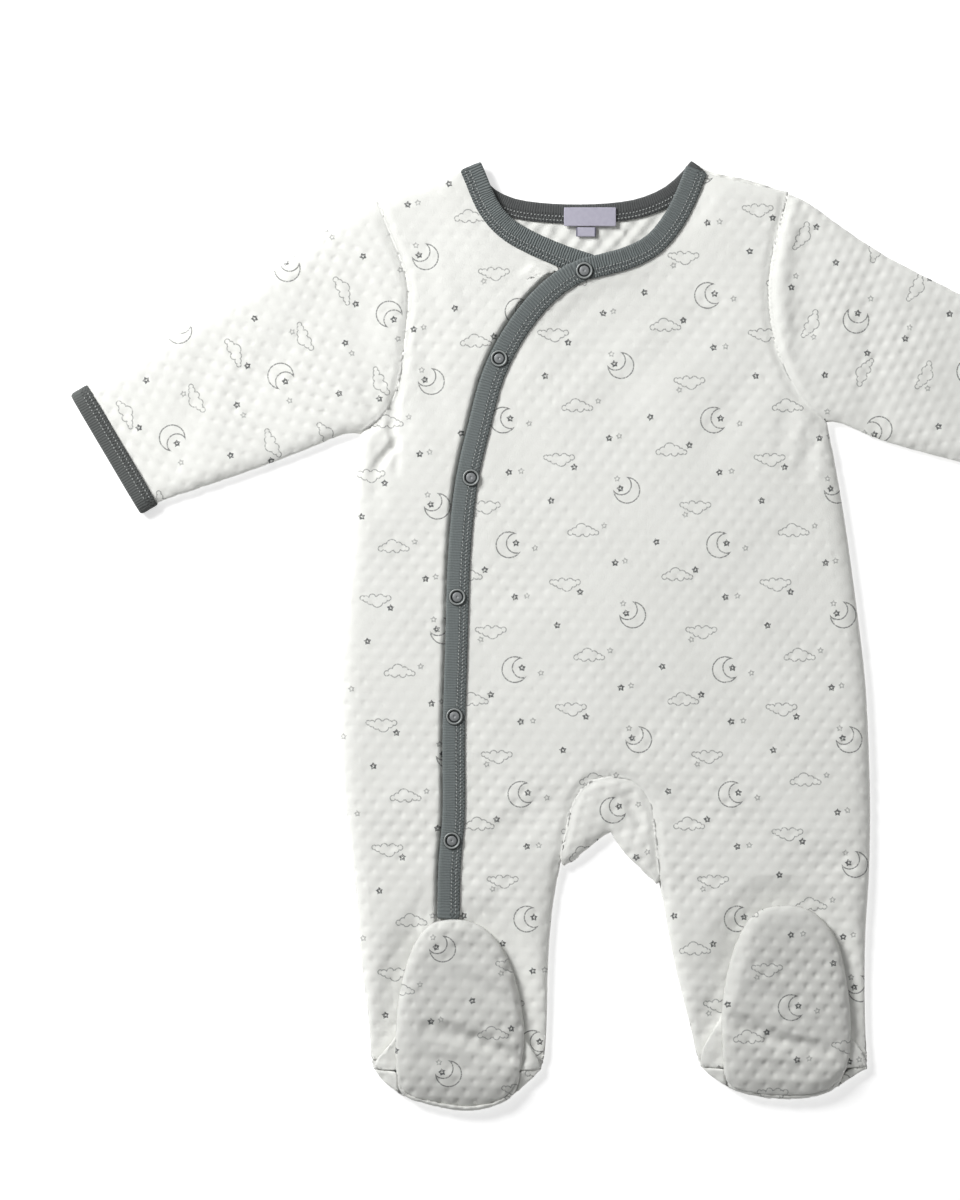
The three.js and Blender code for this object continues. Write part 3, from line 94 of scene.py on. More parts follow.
# Soft troughs of the upper side, and ridges where the depth is negative
CREASES = [
    # x0, y0, x1, y1, width, depth
    (-107.5, 18.0, -111.0, 1.0, 4.5, 1.4),
    (-110.0, 3.0, -108.0, -8.0, 4.0, 1.5),
    (-108.0, -6.0, -116.0, -16.0, 4.0, 1.7),
    (-115.0, -14.0, -120.0, -22.0, 4.5, 1.2),
    (-107.5, -9.0, -107.5, -22.0, 3.5, 0.8),
    (-124.0, 20.0, -117.0, 4.0, 8.0, 0.9),
    (118.0, 2.0, 112.0, -22.0, 8.0, 1.0),
    (105.0, 16.0, 100.0, -8.0, 8.0, 0.7),
    (106.0, 122.0, 100.0, 84.0, 6.5, -0.9),
    (100.0, 84.0, 102.0, 44.0, 6.5, -0.9),
    (102.0, 44.0, 112.0, 26.0, 6.0, -0.6),
    (84.0, 30.0, 60.0, -10.0, 14, 0.6),
    (60.0, 60.0, 0.0, 10.0, 16, 0.5),
    (30.0, 70.0, -30.0, 22.0, 13, 0.45),
    (-96.0, 60.0, -84.0, 10.0, 10, 0.6),
    (-84.0, 96.0, -74.0, 50.0, 9, -0.5),
    (-110.0, -60.0, -90.0, -90.0, 14, 0.5),
    (100.0, -60.0, 60.0, -110.0, 18, 0.5),
    (10.0, -60.0, -50.0, -90.0, 18, 0.4),
    (40.0, -150.0, 96.0, -172.0, 16, 0.5),
    (-56.0, -150.0, -18.0, -182.0, 13, 0.6),
    (36.0, -196.0, 78.0, -214.0, 13, 0.7),
    (-26.0, -200.0, -58.0, -222.0, 12, 0.7),
    (-128.0, -210.0, -96.0, -226.0, 12, 0.5),
    (110.0, -236.0, 142.0, -228.0, 12, 0.6),
    (-150.0, 70.0, -190.0, 20.0, 14, 0.6),
    (-128.0, 84.0, -122.0, 30.0, 12, 0.7),
    (-206.0, 50.0, -226.0, -14.0, 13, 0.5),
    (146.0, 84.0, 150.0, 20.0, 13, 0.6),
    (190.0, 60.0, 200.0, 2.0, 14, 0.5),
    # beside the soles
    (-47.5, -272.0, -40.5, -298.0, 7.0, 1.7),
    (-40.5, -296.0, -37.5, -317.0, 6.0, 1.9),
    (-37.5, -314.0, -29.5, -337.0, 5.0, 1.5),
    (-107.0, -292.0, -110.0, -320.0, 5.5, 1.1),
    (77.0, -268.0, 68.5, -300.0, 8.0, 1.7),
    (69.0, -298.0, 60.0, -325.0, 8.0, 1.9),
    (129.5, -266.0, 135.5, -285.0, 5.0, 1.4),
    (135.5, -283.0, 138.5, -316.0, 4.5, 1.5),
    (-38.0, -322.0, -34.0, -340.0, 4.5, -0.9),
    (-110.0, -326.0, -116.0, -340.0, 6.0, -0.9),
    (66.0, -316.0, 58.0, -338.0, 6.0, -0.9),
    # on the soles
    (-90.0, -321.0, -60.0, -328.0, 7.0, 2.5),
    (-66.0, -328.0, -42.0, -338.0, 6.0, 2.2),
    (-73.0, -292.0, -48.0, -307.0, 6.0, 1.4),
    (-94.0, -337.0, -68.0, -343.0, 6.0, 1.0),
    (-84.0, -284.0, -66.0, -280.0, 11.0, 0.7),
    (68.0, -315.0, 96.0, -328.0, 8.0, 2.7),
    (94.0, -326.0, 124.0, -333.0, 5.5, 2.3),
    (84.0, -300.0, 104.0, -306.0, 8.0, 0.9),
    (88.0, -342.0, 114.0, -345.0, 6.0, 1.1),
    (92.0, -286.0, 116.0, -292.0, 11.0, 0.5),
    # the corners that wrap round each heel
    (-26.0, -343.0, -42.0, -358.0, 8.0, 1.8),
    (-122.0, -343.0, -105.0, -359.0, 8.0, 1.8),
    (53.0, -344.0, 76.0, -359.0, 8.0, 1.8),
    (144.0, -344.0, 122.0, -358.0, 8.0, 1.8),
    # the pinch above the gusset's right side
    (17.0, -197.0, 24.0, -212.0, 5.0, 1.3),
    (8.0, -210.0, 20.0, -216.0, 5.0, 0.7),
]
# Creases of the under side, which lies on the surface: shallow, and rising only
BACK_CREASES = [
    (-70.0, 90.0, 40.0, 70.0, 14, 0.5),
    (80.0, 40.0, 20.0, -20.0, 15, 0.5),
    (-90.0, 20.0, -60.0, -50.0, 13, 0.5),
    (100.0, -80.0, 30.0, -120.0, 16, 0.5),
    (-110.0, -140.0, -50.0, -160.0, 14, 0.5),
    (30.0, -190.0, 100.0, -214.0, 13, 0.5),
    (-30.0, -200.0, -90.0, -230.0, 13, 0.5),
    (-100.0, -290.0, -50.0, -300.0, 12, 0.5),
    (70.0, -290.0, 130.0, -296.0, 12, 0.5),
]


def smooth(t):
    t = np.clip(t, 0.0, 1.0)
    return t * t * (3 - 2 * t)


# A smooth line through a table's rows, as in the part: centripetal, eight steps a row
def line_of(rows, steps=8):
    rows = np.array(rows, float)
    padded = np.vstack([2 * rows[0] - rows[1], rows, 2 * rows[-1] - rows[-2]])
    points = []
    for k in range(len(rows) - 1):
        p0, p1, p2, p3 = padded[k : k + 4]
        d0, d1, d2 = (np.sum((b - a) ** 2) ** 0.25 for a, b in ((p0, p1), (p1, p2), (p2, p3)))
        t1 = ((p1 - p0) / d0 - (p2 - p0) / (d0 + d1) + (p2 - p1) / d1) * d1
        t2 = ((p2 - p1) / d1 - (p3 - p1) / (d1 + d2) + (p3 - p2) / d2) * d1
        for i in range(steps):
            t = i / steps
            c2 = -3 * p1 + 3 * p2 - 2 * t1 - t2
            c3 = 2 * p1 - 2 * p2 + t1 + t2
            points.append(p1 + t1 * t + c2 * t**2 + c3 * t**3)
    points.append(rows[-1])
    points = np.array(points)
    lengths = np.concatenate([[0], np.cumsum(np.hypot(*np.diff(points[:, :2], axis=0).T))])
    return points, lengths


# Length along a line, distance towards its left side, and height there, for many points
def along(line, xy):
    points, lengths = line
    best = np.full(len(xy), np.inf)
    run, side, base = (np.zeros(len(xy)) for _ in range(3))
    for k in range(len(points) - 1):
        a, b = points[k], points[k + 1]
        d = b[:2] - a[:2]
        size = np.hypot(*d)
        rel = xy - a[:2]
        t = np.clip(rel @ d / size**2, 0, 1)
        away = np.hypot(*(rel - t[:, None] * d).T)
        closer = away < best
        best[closer] = away[closer]
        run[closer] = (lengths[k] + t * size)[closer]
        turn = d[0] * rel[:, 1] - d[1] * rel[:, 0]
        side[closer] = (np.sign(turn) * away)[closer]
        base[closer] = (a[2] + t * (b[2] - a[2]))[closer]
    return run, side, base


wrap = line_of(WRAP)
neck_right = line_of(NECK_RIGHT)
neck_back = line_of(NECK_BACK)
armholes = [line_of(ARMHOLE_RIGHT), line_of(ARMHOLE_LEFT)]
arch = line_of(ARCH)


# Vertices in millimetres and triangles of a CAD solid, with its doubled vertices joined
def solid(node):
    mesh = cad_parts[node].data
    points = np.empty(len(mesh.vertices) * 3, np.float32)
    mesh.vertices.foreach_get("co", points)
    points = points.reshape(-1, 3).astype(float) / MM
    mesh.calc_loop_triangles()
    faces = np.empty(len(mesh.loop_triangles) * 3, np.int32)
    mesh.loop_triangles.foreach_get("vertices", faces)
    _, first, inverse = np.unique(
        np.round(points, 2), axis=0, return_index=True, return_inverse=True
    )
    faces = inverse.reshape(-1)[faces.reshape(-1, 3)]
    same = (faces[:, 0] == faces[:, 1]) | (faces[:, 1] == faces[:, 2]) | (faces[:, 2] == faces[:, 0])
    return points[first], faces[~same]


def edges_of(faces):
    pairs = faces[:, [[0, 1], [1, 2], [2, 0]]].reshape(-1, 2).astype(np.int64)
    low, high = pairs.min(axis=1), pairs.max(axis=1)
    keys, inverse = np.unique(low << 32 | high, return_inverse=True)
    return np.stack([keys >> 32, keys & 0xFFFFFFFF], axis=1), inverse.reshape(-1, 3)


# Splits long edges until none is over the length wanted on a face beside it
def refine(points, faces, wanted):
    for _ in range(14):
        keys, of_face = edges_of(faces)
        length = np.linalg.norm(points[keys[:, 0]] - points[keys[:, 1]], axis=1)
        target = wanted(points, faces)
        of_length = length[of_face]
        long = of_length > target[:, None]
        main = of_length >= 0.6 * of_length.max(axis=1)[:, None]
        split = np.zeros(len(keys), bool)
        split[of_face[long & main]] = True
        if not split.any():
            break
        middle = np.cumsum(split) - 1 + len(points)
        cut = keys[split]
        points = np.vstack([points, (points[cut[:, 0]] + points[cut[:, 1]]) / 2])
        marks = split[of_face]
        count = marks.sum(axis=1)
        made = [faces[count == 0]]
        for n in (1, 2, 3):
            rows = np.where(count == n)[0]
            if not len(rows):
                continue
            f, m, e = faces[rows], marks[rows], of_face[rows]
            if n == 1:
                turn = m.argmax(axis=1)
            elif n == 2:
                turn = ((~m).argmax(axis=1) + 1) % 3
            else:
                turn = np.zeros(len(rows), int)
            order = (turn[:, None] + np.arange(3)) % 3
            f = np.take_along_axis(f, order, axis=1)
            e = np.take_along_axis(e, order, axis=1)
            a, b, c = f.T
            p, q, r = middle[e].T
            if n == 1:
                made += [np.stack(t, axis=1) for t in ((a, p, c), (p, b, c))]
            elif n == 2:
                made += [np.stack(t, axis=1) for t in ((p, b, q), (a, p, q), (a, q, c))]
            else:
                corners = ((a, p, r), (p, b, q), (r, q, c), (p, q, r))
                made += [np.stack(t, axis=1) for t in corners]
        faces = np.vstack(made)
    return points, faces


# Sum of the rows that share an index, for each index
def summed(index, rows, size):
    return np.stack([np.bincount(index, column, size) for column in rows.T], axis=1)


# The same over the three corners or edges that each face names
def gathered(of_face, rows, size):
    return sum(summed(of_face[:, k], rows, size) for k in range(3))


def unit(vectors):
    return vectors / np.maximum(np.linalg.norm(vectors, axis=1), 1e-12)[:, None]


def face_normals(points, faces):
    a, b, c = (points[faces[:, k]] for k in range(3))
    return np.cross(b - a, c - a)


def vertex_normals(points, faces):
    return unit(gathered(faces, face_normals(points, faces), len(points)))


# Edges where the surface turns by more than an angle
def sharp_edges(points, faces, degrees):
    keys, of_face = edges_of(faces)
    total = gathered(of_face, unit(face_normals(points, faces)), len(keys))
    return keys[np.linalg.norm(total, axis=1) / 2 < math.cos(math.radians(degrees / 2))]


# Takes the corners out of lines of sharp edges, where a point has one neighbour on either side
def smooth_lines(points, edges, rounds):
    here, there = np.concatenate([edges, edges[:, ::-1]]).T
    moving = np.bincount(here, minlength=len(points)) == 2
    for _ in range(rounds):
        total = summed(here, points[there], len(points))
        points = np.where(moving[:, None], points / 2 + total / 4, points)
    return points


# Moves each point towards the mean of its neighbours, by its share of the way each round
def relax(points, faces, rounds, share):
    edges, _ = edges_of(faces)
    here, there = np.concatenate([edges, edges[:, ::-1]]).T
    count = np.bincount(here, minlength=len(points))
    for _ in range(rounds):
        mean = summed(here, points[there], len(points)) / count[:, None]
        points = points + (mean - points) * share[:, None]
    return points


# How far the creases of a table push the cloth down, for many points
def crease_depth(table, xy):
    depth = np.zeros(len(xy))
    for x0, y0, x1, y1, width, deep in table:
        a = np.array([x0, y0])
        d = np.array([x1 - x0, y1 - y0])
        t = np.clip((xy - a) @ d / (d @ d), 0, 1)
        away = np.hypot(*(xy - a - t[:, None] * d).T) / width
        ends = 0.45 + 0.55 * np.sin(np.pi * np.clip(t, 0.08, 0.92))
        depth += deep * ends * np.where(away < 1, (1 - away**2) ** 2, 0)
    return depth


# Slow unevenness of cloth that has been handled, about one millimetre in all
def unevenness(xy):
    x, y = xy.T
    a = np.sin(x / 9.7 + 1.3 * np.sin(y / 21.0)) * np.sin(y / 13.1 + 0.8)
    b = np.sin((x + y) / 15.3 + 1.1 * np.sin((x - y) / 33.0))
    c = np.sin((x - 0.6 * y) / 27.0 + 2.0)
    return 0.16 * a + 0.24 * b + 0.22 * c


# The quilting: staggered dimples with soft rows between them, in the cloth's own grain
QUILT_ACROSS = 9.5
QUILT_ROW = 6.0


def quilting(grain, ridges):
    u = grain[:, 0] + 0.7 * np.sin(grain[:, 1] / 23.0) + 0.5 * np.sin(grain[:, 1] / 7.9)
    v = grain[:, 1] + 0.6 * np.sin(grain[:, 0] / 19.0 + 1.0)
    wave = np.cos(TAU * u / QUILT_ACROSS) * np.cos(math.pi * v / QUILT_ROW)
    rows = np.cos(TAU * v / QUILT_ROW)
    worn = 0.72 + 0.38 * np.sin(u / 17.0 + 1.7 * np.sin(v / 29.0)) * np.sin(v / 12.0 + 0.5)
    dimples = -1.0 * np.maximum(wave, 0) ** 1.8 + 0.28 * np.maximum(-wave, 0)
    return worn * (dimples - ridges * rows)


# Turns plan places into places of the print, whose right-open moon is the origin
def grain_of(start, degrees, mirror=False):
    turn = math.radians(degrees)
    c, s = math.cos(turn), math.sin(turn)

    def place(xy):
        rel = xy - np.array(start)
        u = c * rel[:, 0] + s * rel[:, 1]
        v = -s * rel[:, 0] + c * rel[:, 1]
        return np.stack([-u if mirror else u, v], axis=1)

    return place


def add_mesh(name, points, faces, material_of_face, materials, uv=None):
    mesh = bpy.data.meshes.new(name)
    mesh.vertices.add(len(points))
    mesh.vertices.foreach_set("co", (points * MM).astype(np.float32).ravel())
    mesh.loops.add(len(faces) * 3)
    mesh.loops.foreach_set("vertex_index", faces.astype(np.int32).ravel())
    mesh.polygons.add(len(faces))
    mesh.polygons.foreach_set("loop_start", np.arange(0, len(faces) * 3, 3, dtype=np.int32))
    mesh.polygons.foreach_set("material_index", material_of_face.astype(np.int32))
    mesh.polygons.foreach_set("use_smooth", np.ones(len(faces), bool))
    if uv is not None:
        layer = mesh.uv_layers.new(name="grain")
        layer.data.foreach_set("uv", uv[faces.ravel()].astype(np.float32).ravel())
    mesh.update()
    mesh.validate()
    for material in materials:
        mesh.materials.append(material)
    obj = bpy.data.objects.new(name, mesh)
    bpy.context.scene.collection.objects.link(obj)
    return obj


# Shader graphs, built from small calls
class Graph:
    def __init__(self, name):
        self.material = bpy.data.materials.new(name)
        self.material.use_nodes = True
        self.tree = self.material.node_tree
        self.shader = self.tree.nodes["Principled BSDF"]

    def node(self, kind, **settings):
        made = self.tree.nodes.new(kind)
        for key, value in settings.items():
            setattr(made, key, value)
        return made

    def feed(self, socket, value):
        if isinstance(value, bpy.types.NodeSocket):
            self.tree.links.new(value, socket)
        else:
            socket.default_value = value

    def math(self, operation, *values, clamp=False):
        made = self.node("ShaderNodeMath", operation=operation, use_clamp=clamp)
        for socket, value in zip(made.inputs, values):
            self.feed(socket, value)
        return made.outputs[0]

    def ramp(self, value, low, high, start=0.0, end=1.0):
        made = self.node("ShaderNodeMapRange", interpolation_type="SMOOTHSTEP")
        for socket, given in zip(made.inputs, (value, low, high, start, end)):
            self.feed(socket, given)
        return made.outputs[0]

    def parts(self, vector):
        made = self.node("ShaderNodeSeparateXYZ")
        self.feed(made.inputs[0], vector)
        return made.outputs[0], made.outputs[1]

    def noise(self, vector, scale, detail=2.0, rough=0.5):
        made = self.node("ShaderNodeTexNoise")
        self.feed(made.inputs["Vector"], vector)
        made.inputs["Scale"].default_value = scale
        made.inputs["Detail"].default_value = detail
        made.inputs["Roughness"].default_value = rough
        return made.outputs[0]

    def blend(self, share, a, b):
        made = self.node("ShaderNodeMix", data_type="RGBA")
        self.feed(made.inputs[0], share)
        self.feed(made.inputs[6], a)
        self.feed(made.inputs[7], b)
        return made.outputs[2]

    def grain(self):
        return self.node("ShaderNodeUVMap", uv_map="grain").outputs[0]

    def bump(self, height, strength, distance, normal=None):
        made = self.node("ShaderNodeBump")
        made.inputs["Strength"].default_value = strength
        made.inputs["Distance"].default_value = distance
        self.feed(made.inputs["Height"], height)
        if normal is not None:
            self.feed(made.inputs["Normal"], normal)
        return made.outputs[0]

    def finish(self, colour, roughness, normal=None, sheen=0.0):
        self.feed(self.shader.inputs["Base Color"], colour)
        self.feed(self.shader.inputs["Roughness"], roughness)
        self.shader.inputs["Sheen Weight"].default_value = sheen
        self.shader.inputs["Sheen Roughness"].default_value = 0.5
        self.shader.inputs["Specular IOR Level"].default_value = 0.25
        if normal is not None:
            self.feed(self.shader.inputs["Normal"], normal)
        return self.material


# Repeat of the print: the next moon across, and the next one down, in millimetres
ACROSS = 113.4
DOWN = 67.2
SLIP = 3.2
# kind, right of the first moon, above it, turn in degrees
MOTIFS = [
    ("moon", 0.0, 0.0, 0),
    ("moon", -49.9, 29.4, 123),
    ("cloud", -22.7, -16.2, 0),
    ("cloud", 30.2, -21.1, 180),
    ("cloud", -13.0, 20.5, 180),
    ("cloud", 40.0, 7.6, 0),
    ("dark star", 3.8, 0.9, 0),
    ("dark star", -53.4, 30.3, 12),
    ("dark star", -13.0, -13.5, 6),
    ("dark star", 38.3, -25.4, 0),
    ("dark star", -34.0, 1.6, 20),
    ("dark star", 22.7, 23.8, 8),
    ("dark star", -56.2, -9.7, 0),
    ("dark star", 3.2, -28.1, 14),
    ("grey star", 14.0, -1.8, 10),
    ("grey star", -55.1, 35.6, 0),
    ("grey star", -18.4, 16.2, 16),
    ("grey star", 51.3, 10.3, 0),
    ("grey star", -50.8, -8.6, 8),
    ("grey star", 9.7, -27.5, 0),
]
CLOUD_PUFFS = [
    (-6.9, -1.0, 1.4), (-4.5, -0.2, 1.9), (-1.0, 0.9, 3.0), (2.5, 0.3, 2.2), (5.1, -0.6, 1.7),
    (7.1, -1.1, 1.2), (-2.7, -1.2, 1.9), (1.7, -1.4, 1.8),
]
MOON = {"outer": 6.9, "inner": 5.35, "shift": (4.05, 0.9)}
STAR = {"outer": 1.32, "inner": 0.82}


# Place within a repeat of the print, measured from one motif
def local(g, x, y, right, above, degrees):
    dx = g.math("SUBTRACT", x, right)
    dy = g.math("SUBTRACT", y, above)
    row = g.math("ROUND", g.math("DIVIDE", dy, DOWN))
    dy = g.math("SUBTRACT", dy, g.math("MULTIPLY", row, DOWN))
    dx = g.math("ADD", dx, g.math("MULTIPLY", row, SLIP))
    column = g.math("ROUND", g.math("DIVIDE", dx, ACROSS))
    dx = g.math("SUBTRACT", dx, g.math("MULTIPLY", column, ACROSS))
    if not degrees:
        return dx, dy
    c, s = math.cos(math.radians(degrees)), math.sin(math.radians(degrees))
    u = g.math("ADD", g.math("MULTIPLY", dx, c), g.math("MULTIPLY", dy, s))
    v = g.math("SUBTRACT", g.math("MULTIPLY", dy, c), g.math("MULTIPLY", dx, s))
    return u, v


def from_circle(g, u, v, cx, cy, radius):
    dx = g.math("SUBTRACT", u, cx)
    dy = g.math("SUBTRACT", v, cy)
    square = g.math("ADD", g.math("MULTIPLY", dx, dx), g.math("MULTIPLY", dy, dy))
    return g.math("SUBTRACT", g.math("SQRT", square), radius)


def moon_edge(g, u, v):
    outer = from_circle(g, u, v, 0.0, 0.0, MOON["outer"])
    inner = from_circle(g, u, v, *MOON["shift"], MOON["inner"])
    return g.math("MAXIMUM", outer, g.math("MULTIPLY", inner, -1.0))


def cloud_edge(g, u, v):
    shape = None
    for cx, cy, radius in CLOUD_PUFFS:
        puff = from_circle(g, u, v, cx, cy, radius)
        shape = puff if shape is None else g.math("MINIMUM", shape, puff)
    return shape


def star_edge(g, u, v):
    fifth = TAU / 5
    angle = g.math("DIVIDE", g.math("ARCTAN2", u, v), fifth)
    near = g.math("SUBTRACT", angle, g.math("ROUND", angle))
    folded = g.math("MULTIPLY", g.math("ABSOLUTE", near), fifth)
    tip = np.array([STAR["outer"], 0.0])
    notch = STAR["inner"] * np.array([math.cos(fifth / 2), math.sin(fifth / 2)])
    side = notch - tip
    facing = math.atan2(-side[0], side[1])
    if facing < 0:
        facing += math.pi
    out = np.array([math.cos(facing), math.sin(facing)])
    reach = float(out @ tip)
    square = g.math("ADD", g.math("MULTIPLY", u, u), g.math("MULTIPLY", v, v))
    leaned = g.math("COSINE", g.math("SUBTRACT", folded, facing))
    return g.math("SUBTRACT", g.math("MULTIPLY", g.math("SQRT", square), leaned), reach)


EDGES = {"moon": moon_edge, "cloud": cloud_edge, "dark star": star_edge, "grey star": star_edge}
INKS = {
    # half width of the line, strength of the ink
    "moon": (0.33, 0.80),
    "cloud": (0.30, 0.60),
    "dark star": (0.46, 0.95),
    "grey star": (0.34, 0.50),
}


# Strength of the print, 0 to 1, at a place of the cloth
def print_mask(g, grain):
    x, y = g.parts(grain)
    total = None
    for kind, right, above, degrees in MOTIFS:
        u, v = local(g, x, y, right, above, degrees)
        half, strength = INKS[kind]
        edge = g.math("ABSOLUTE", EDGES[kind](g, u, v))
        ink = g.ramp(edge, half - 0.16, half + 0.16, strength, 0.0)
        total = ink if total is None else g.math("MAXIMUM", total, ink)
    broken = g.ramp(g.noise(grain, 1.1, 1.0), 0.38, 0.5, 0.45, 1.0)
    return g.math("MULTIPLY", total, broken)


# The last argument darkens the whole colour as painted shade; 1.0 leaves it as it is.
def cloth_material(name, printed, shade=1.0):
    g = Graph(name)
    grain = g.grain()
    x, y = g.parts(grain)
    tone = g.noise(grain, 0.035, 2.0)
    low, high = ([v * shade for v in c] for c in ((0.83, 0.835, 0.795), (0.90, 0.905, 0.87)))
    white = g.blend(tone, (*low, 1), (*high, 1))
    knit_a = g.math("SINE", g.math("MULTIPLY", x, TAU / 0.9))
    knit_b = g.math("SINE", g.math("MULTIPLY", y, TAU / 0.7))
    knit = g.math("MULTIPLY", knit_a, knit_b)
    fuzz = g.noise(grain, 1.6, 4.0, 0.65)
    fine = g.math("ADD", g.math("MULTIPLY", knit, 0.10), g.math("MULTIPLY", fuzz, 0.9))
    normal = g.bump(fine, 0.5, 0.0006)
    if not printed:
        wave_a = g.math("COSINE", g.math("MULTIPLY", x, TAU / QUILT_ACROSS))
        wave_b = g.math("COSINE", g.math("MULTIPLY", y, math.pi / QUILT_ROW))
        quilt = g.math("MULTIPLY", g.math("MULTIPLY", wave_a, wave_b), -1.0)
        return g.finish(white, 0.95, g.bump(quilt, 0.8, 0.0006, normal), 0.25)
    colour = g.blend(print_mask(g, grain), white, (0.075, 0.08, 0.082, 1))
    return g.finish(colour, 0.93, normal, 0.25)


# The second grain axis is the distance from a band's body side: ribs cross the whole band, and its
# sewn share there is painted with dark specks where the stitching pulls hollows into it, as painted
# shade
SEWN = 5.5


def rib_material(name, dark, light, shaded_speck, ribbed):
    g = Graph(name)
    grain = g.grain()
    x, y = g.parts(grain)
    across = g.math("ABSOLUTE", y)
    wander = g.math("MULTIPLY", g.noise(grain, 0.25, 2.0), 1.2)
    rib = g.math("SINE", g.math("MULTIPLY", g.math("ADD", x, wander), TAU / 1.4))
    plain = g.ramp(x, 130.0, 210.0, ribbed, 0.3 * ribbed)
    # The ribs' ridges are painted lighter and the hollows between them darker, in step with the rib
    # bump below: painted highlight and painted shade. The patches mixed in are random tone.
    tone = g.ramp(g.math("MULTIPLY", rib, plain), -1.0, 1.0, 0.0, 1.0)
    patch = g.noise(grain, 0.3, 3.0, 0.6)
    share = g.math("ADD", g.math("MULTIPLY", tone, 0.65), g.math("MULTIPLY", patch, 0.35))
    colour = g.blend(share, dark, light)
    sewn = g.ramp(across, SEWN - 0.5, SEWN + 0.3, 1.0, 0.0)
    pull_x = g.math("SINE", g.math("MULTIPLY", x, TAU / 1.95))
    pull_y = g.math("SINE", g.math("MULTIPLY", across, TAU / 2.2))
    pull = g.math("MULTIPLY", pull_x, pull_y)
    grit = g.noise(grain, 0.85, 2.0, 0.7)
    # Dark specks in the stitched share, where the bump is pulled down below: painted shade in the
    # stitch hollows.
    hollow_shade = g.ramp(g.math("ADD", g.math("MULTIPLY", pull, 0.16), grit), 0.34, 0.60, 0.62, 0.0)
    colour = g.blend(g.math("MULTIPLY", hollow_shade, sewn), colour, shaded_speck)
    cross = g.math("SINE", g.math("MULTIPLY", y, TAU / 0.8))
    fuzz = g.noise(grain, 2.2, 3.0, 0.6)
    ribs = g.math("MULTIPLY", g.math("MULTIPLY", rib, plain), 0.6)
    lift = g.math("ADD", ribs, g.math("MULTIPLY", cross, 0.08))
    height = g.math("ADD", lift, g.math("MULTIPLY", fuzz, 0.4))
    height = g.math("SUBTRACT", height, g.math("MULTIPLY", g.math("MULTIPLY", hollow_shade, sewn), 0.9))
    return g.finish(colour, 0.9, g.bump(height, 0.8, 0.0004), 0.15)


printed_cotton = cloth_material("printed_cotton", True)
# The soles use the same printed cotton painted darker, times 0.80, as painted shade for their tilt
# away from the light.
shaded_sole_cotton = cloth_material("printed_cotton_sole_painted_shade", True, 0.80)
plain_cotton = cloth_material("plain_cotton_inside", False)
slate_rib = rib_material(
    "slate_rib", (0.114, 0.131, 0.131, 1), (0.197, 0.219, 0.218, 1), (0.042, 0.045, 0.045, 1), 1.0
)
back_rib = rib_material(
    "slate_rib_back", (0.062, 0.065, 0.065, 1), (0.112, 0.117, 0.117, 1), (0.036, 0.038, 0.038, 1), 0.5
)
cuff_rib = rib_material(
    "slate_rib_cuff", (0.075, 0.082, 0.08, 1), (0.124, 0.13, 0.127, 1), (0.035, 0.036, 0.036, 1), 0.45
)

# Side of the cloth that a wearer would see: above the side folds it faces up, below them down
HALF_HEIGHT = 3.4


def is_outer(points, normals):
    return (points[:, 2] - HALF_HEIGHT) * normals[:, 2] > 0


def length_wanted(outer, inner):
    def wanted(points, faces):
        n = unit(face_normals(points, faces))
        middle = points[faces].mean(axis=1)
        return np.where(is_outer(middle, n) | (np.abs(n[:, 2]) < 0.3), outer, inner)

    return wanted


# Distance from a line, worked out only where it is under a reach
def near_line(line, xy, reach):
    low = line[0][:, :2].min(axis=0) - reach
    high = line[0][:, :2].max(axis=0) + reach
    close = np.all((xy > low) & (xy < high), axis=1)
    distance = np.full(len(xy), float(reach))
    distance[close] = np.abs(along(line, xy[close])[1])
    return np.minimum(distance, reach)


BINDING = 12.2


# Keeps the right front level up to the wrap's free edge, where its solid slopes to go below
def up_to_wrap(points, upper):
    chosen = upper & (points[:, 0] < 0.0) & (points[:, 1] < 92.0)
    xy = points[chosen, :2]
    _, side, base = along(wrap, xy)
    _, from_neck, _ = along(neck_right, xy)
    beyond = -side - BINDING
    level = np.minimum(base, 4.9) - 0.3 + 2.5 * smooth(beyond / 2.6)
    share = smooth((np.abs(from_neck) - 1.0) / 7.0) * (1 - smooth((beyond - 9.0) / 4.0))
    share = np.where((beyond > 0) & (from_neck < 0), share, 0.0)
    z = points[chosen, 2]
    points[chosen, 2] = z + np.maximum(level - z, 0.0) * share


# Fuller edges for a stuffed-looking sole, and a heel that rolls under
def plump(points, upper):
    edge, top = 6.6, 11.2
    t = np.clip((points[:, 2] - edge) / (top - edge), 0, 1)
    rolled = 3.0 * np.clip((-339.0 - points[:, 1]) / 20.0, 0, 1.2) ** 2
    points[:, 2] += np.where(upper, (top - edge) * (t**0.62 - t) - rolled * smooth(t * 4), 0.0)


# Cloth thickness, longest mesh edge on a side that doesn't show, turn of a sharp edge in degrees,
# reach of the wrap and of a seam into the cloth beside them, and where the legs and heels begin
CLOTH = 1.8
HIDDEN_EDGE = 7.0
SHARP_TURN = 66
WRAP_REACH = 14.0
SEAM_REACH = 5.0
LEGS_FROM = -110.0
HEELS_FROM = -325.0


# Most triangles of each large piece, so that none has 200,000 and all have under a million
MOST_TRIANGLES = {
    "back": 130000,
    "front_left": 190000,
    "front_right": 95000,
    "sleeve_right": 110000,
    "sleeve_left": 85000,
}


# Merges a mesh's smallest triangles until it has no more than are wanted
def thin_out(obj, most):
    full = obj.data
    modifier = obj.modifiers.new("thin_out", "DECIMATE")
    modifier.ratio = min(1.0, most / len(full.polygons))
    view = bpy.context.evaluated_depsgraph_get()
    thinned = obj.evaluated_get(view)
    obj.data = bpy.data.meshes.new_from_object(
        thinned, preserve_all_data_layers=True, depsgraph=view
    )
    obj.modifiers.clear()
    bpy.data.meshes.remove(full)


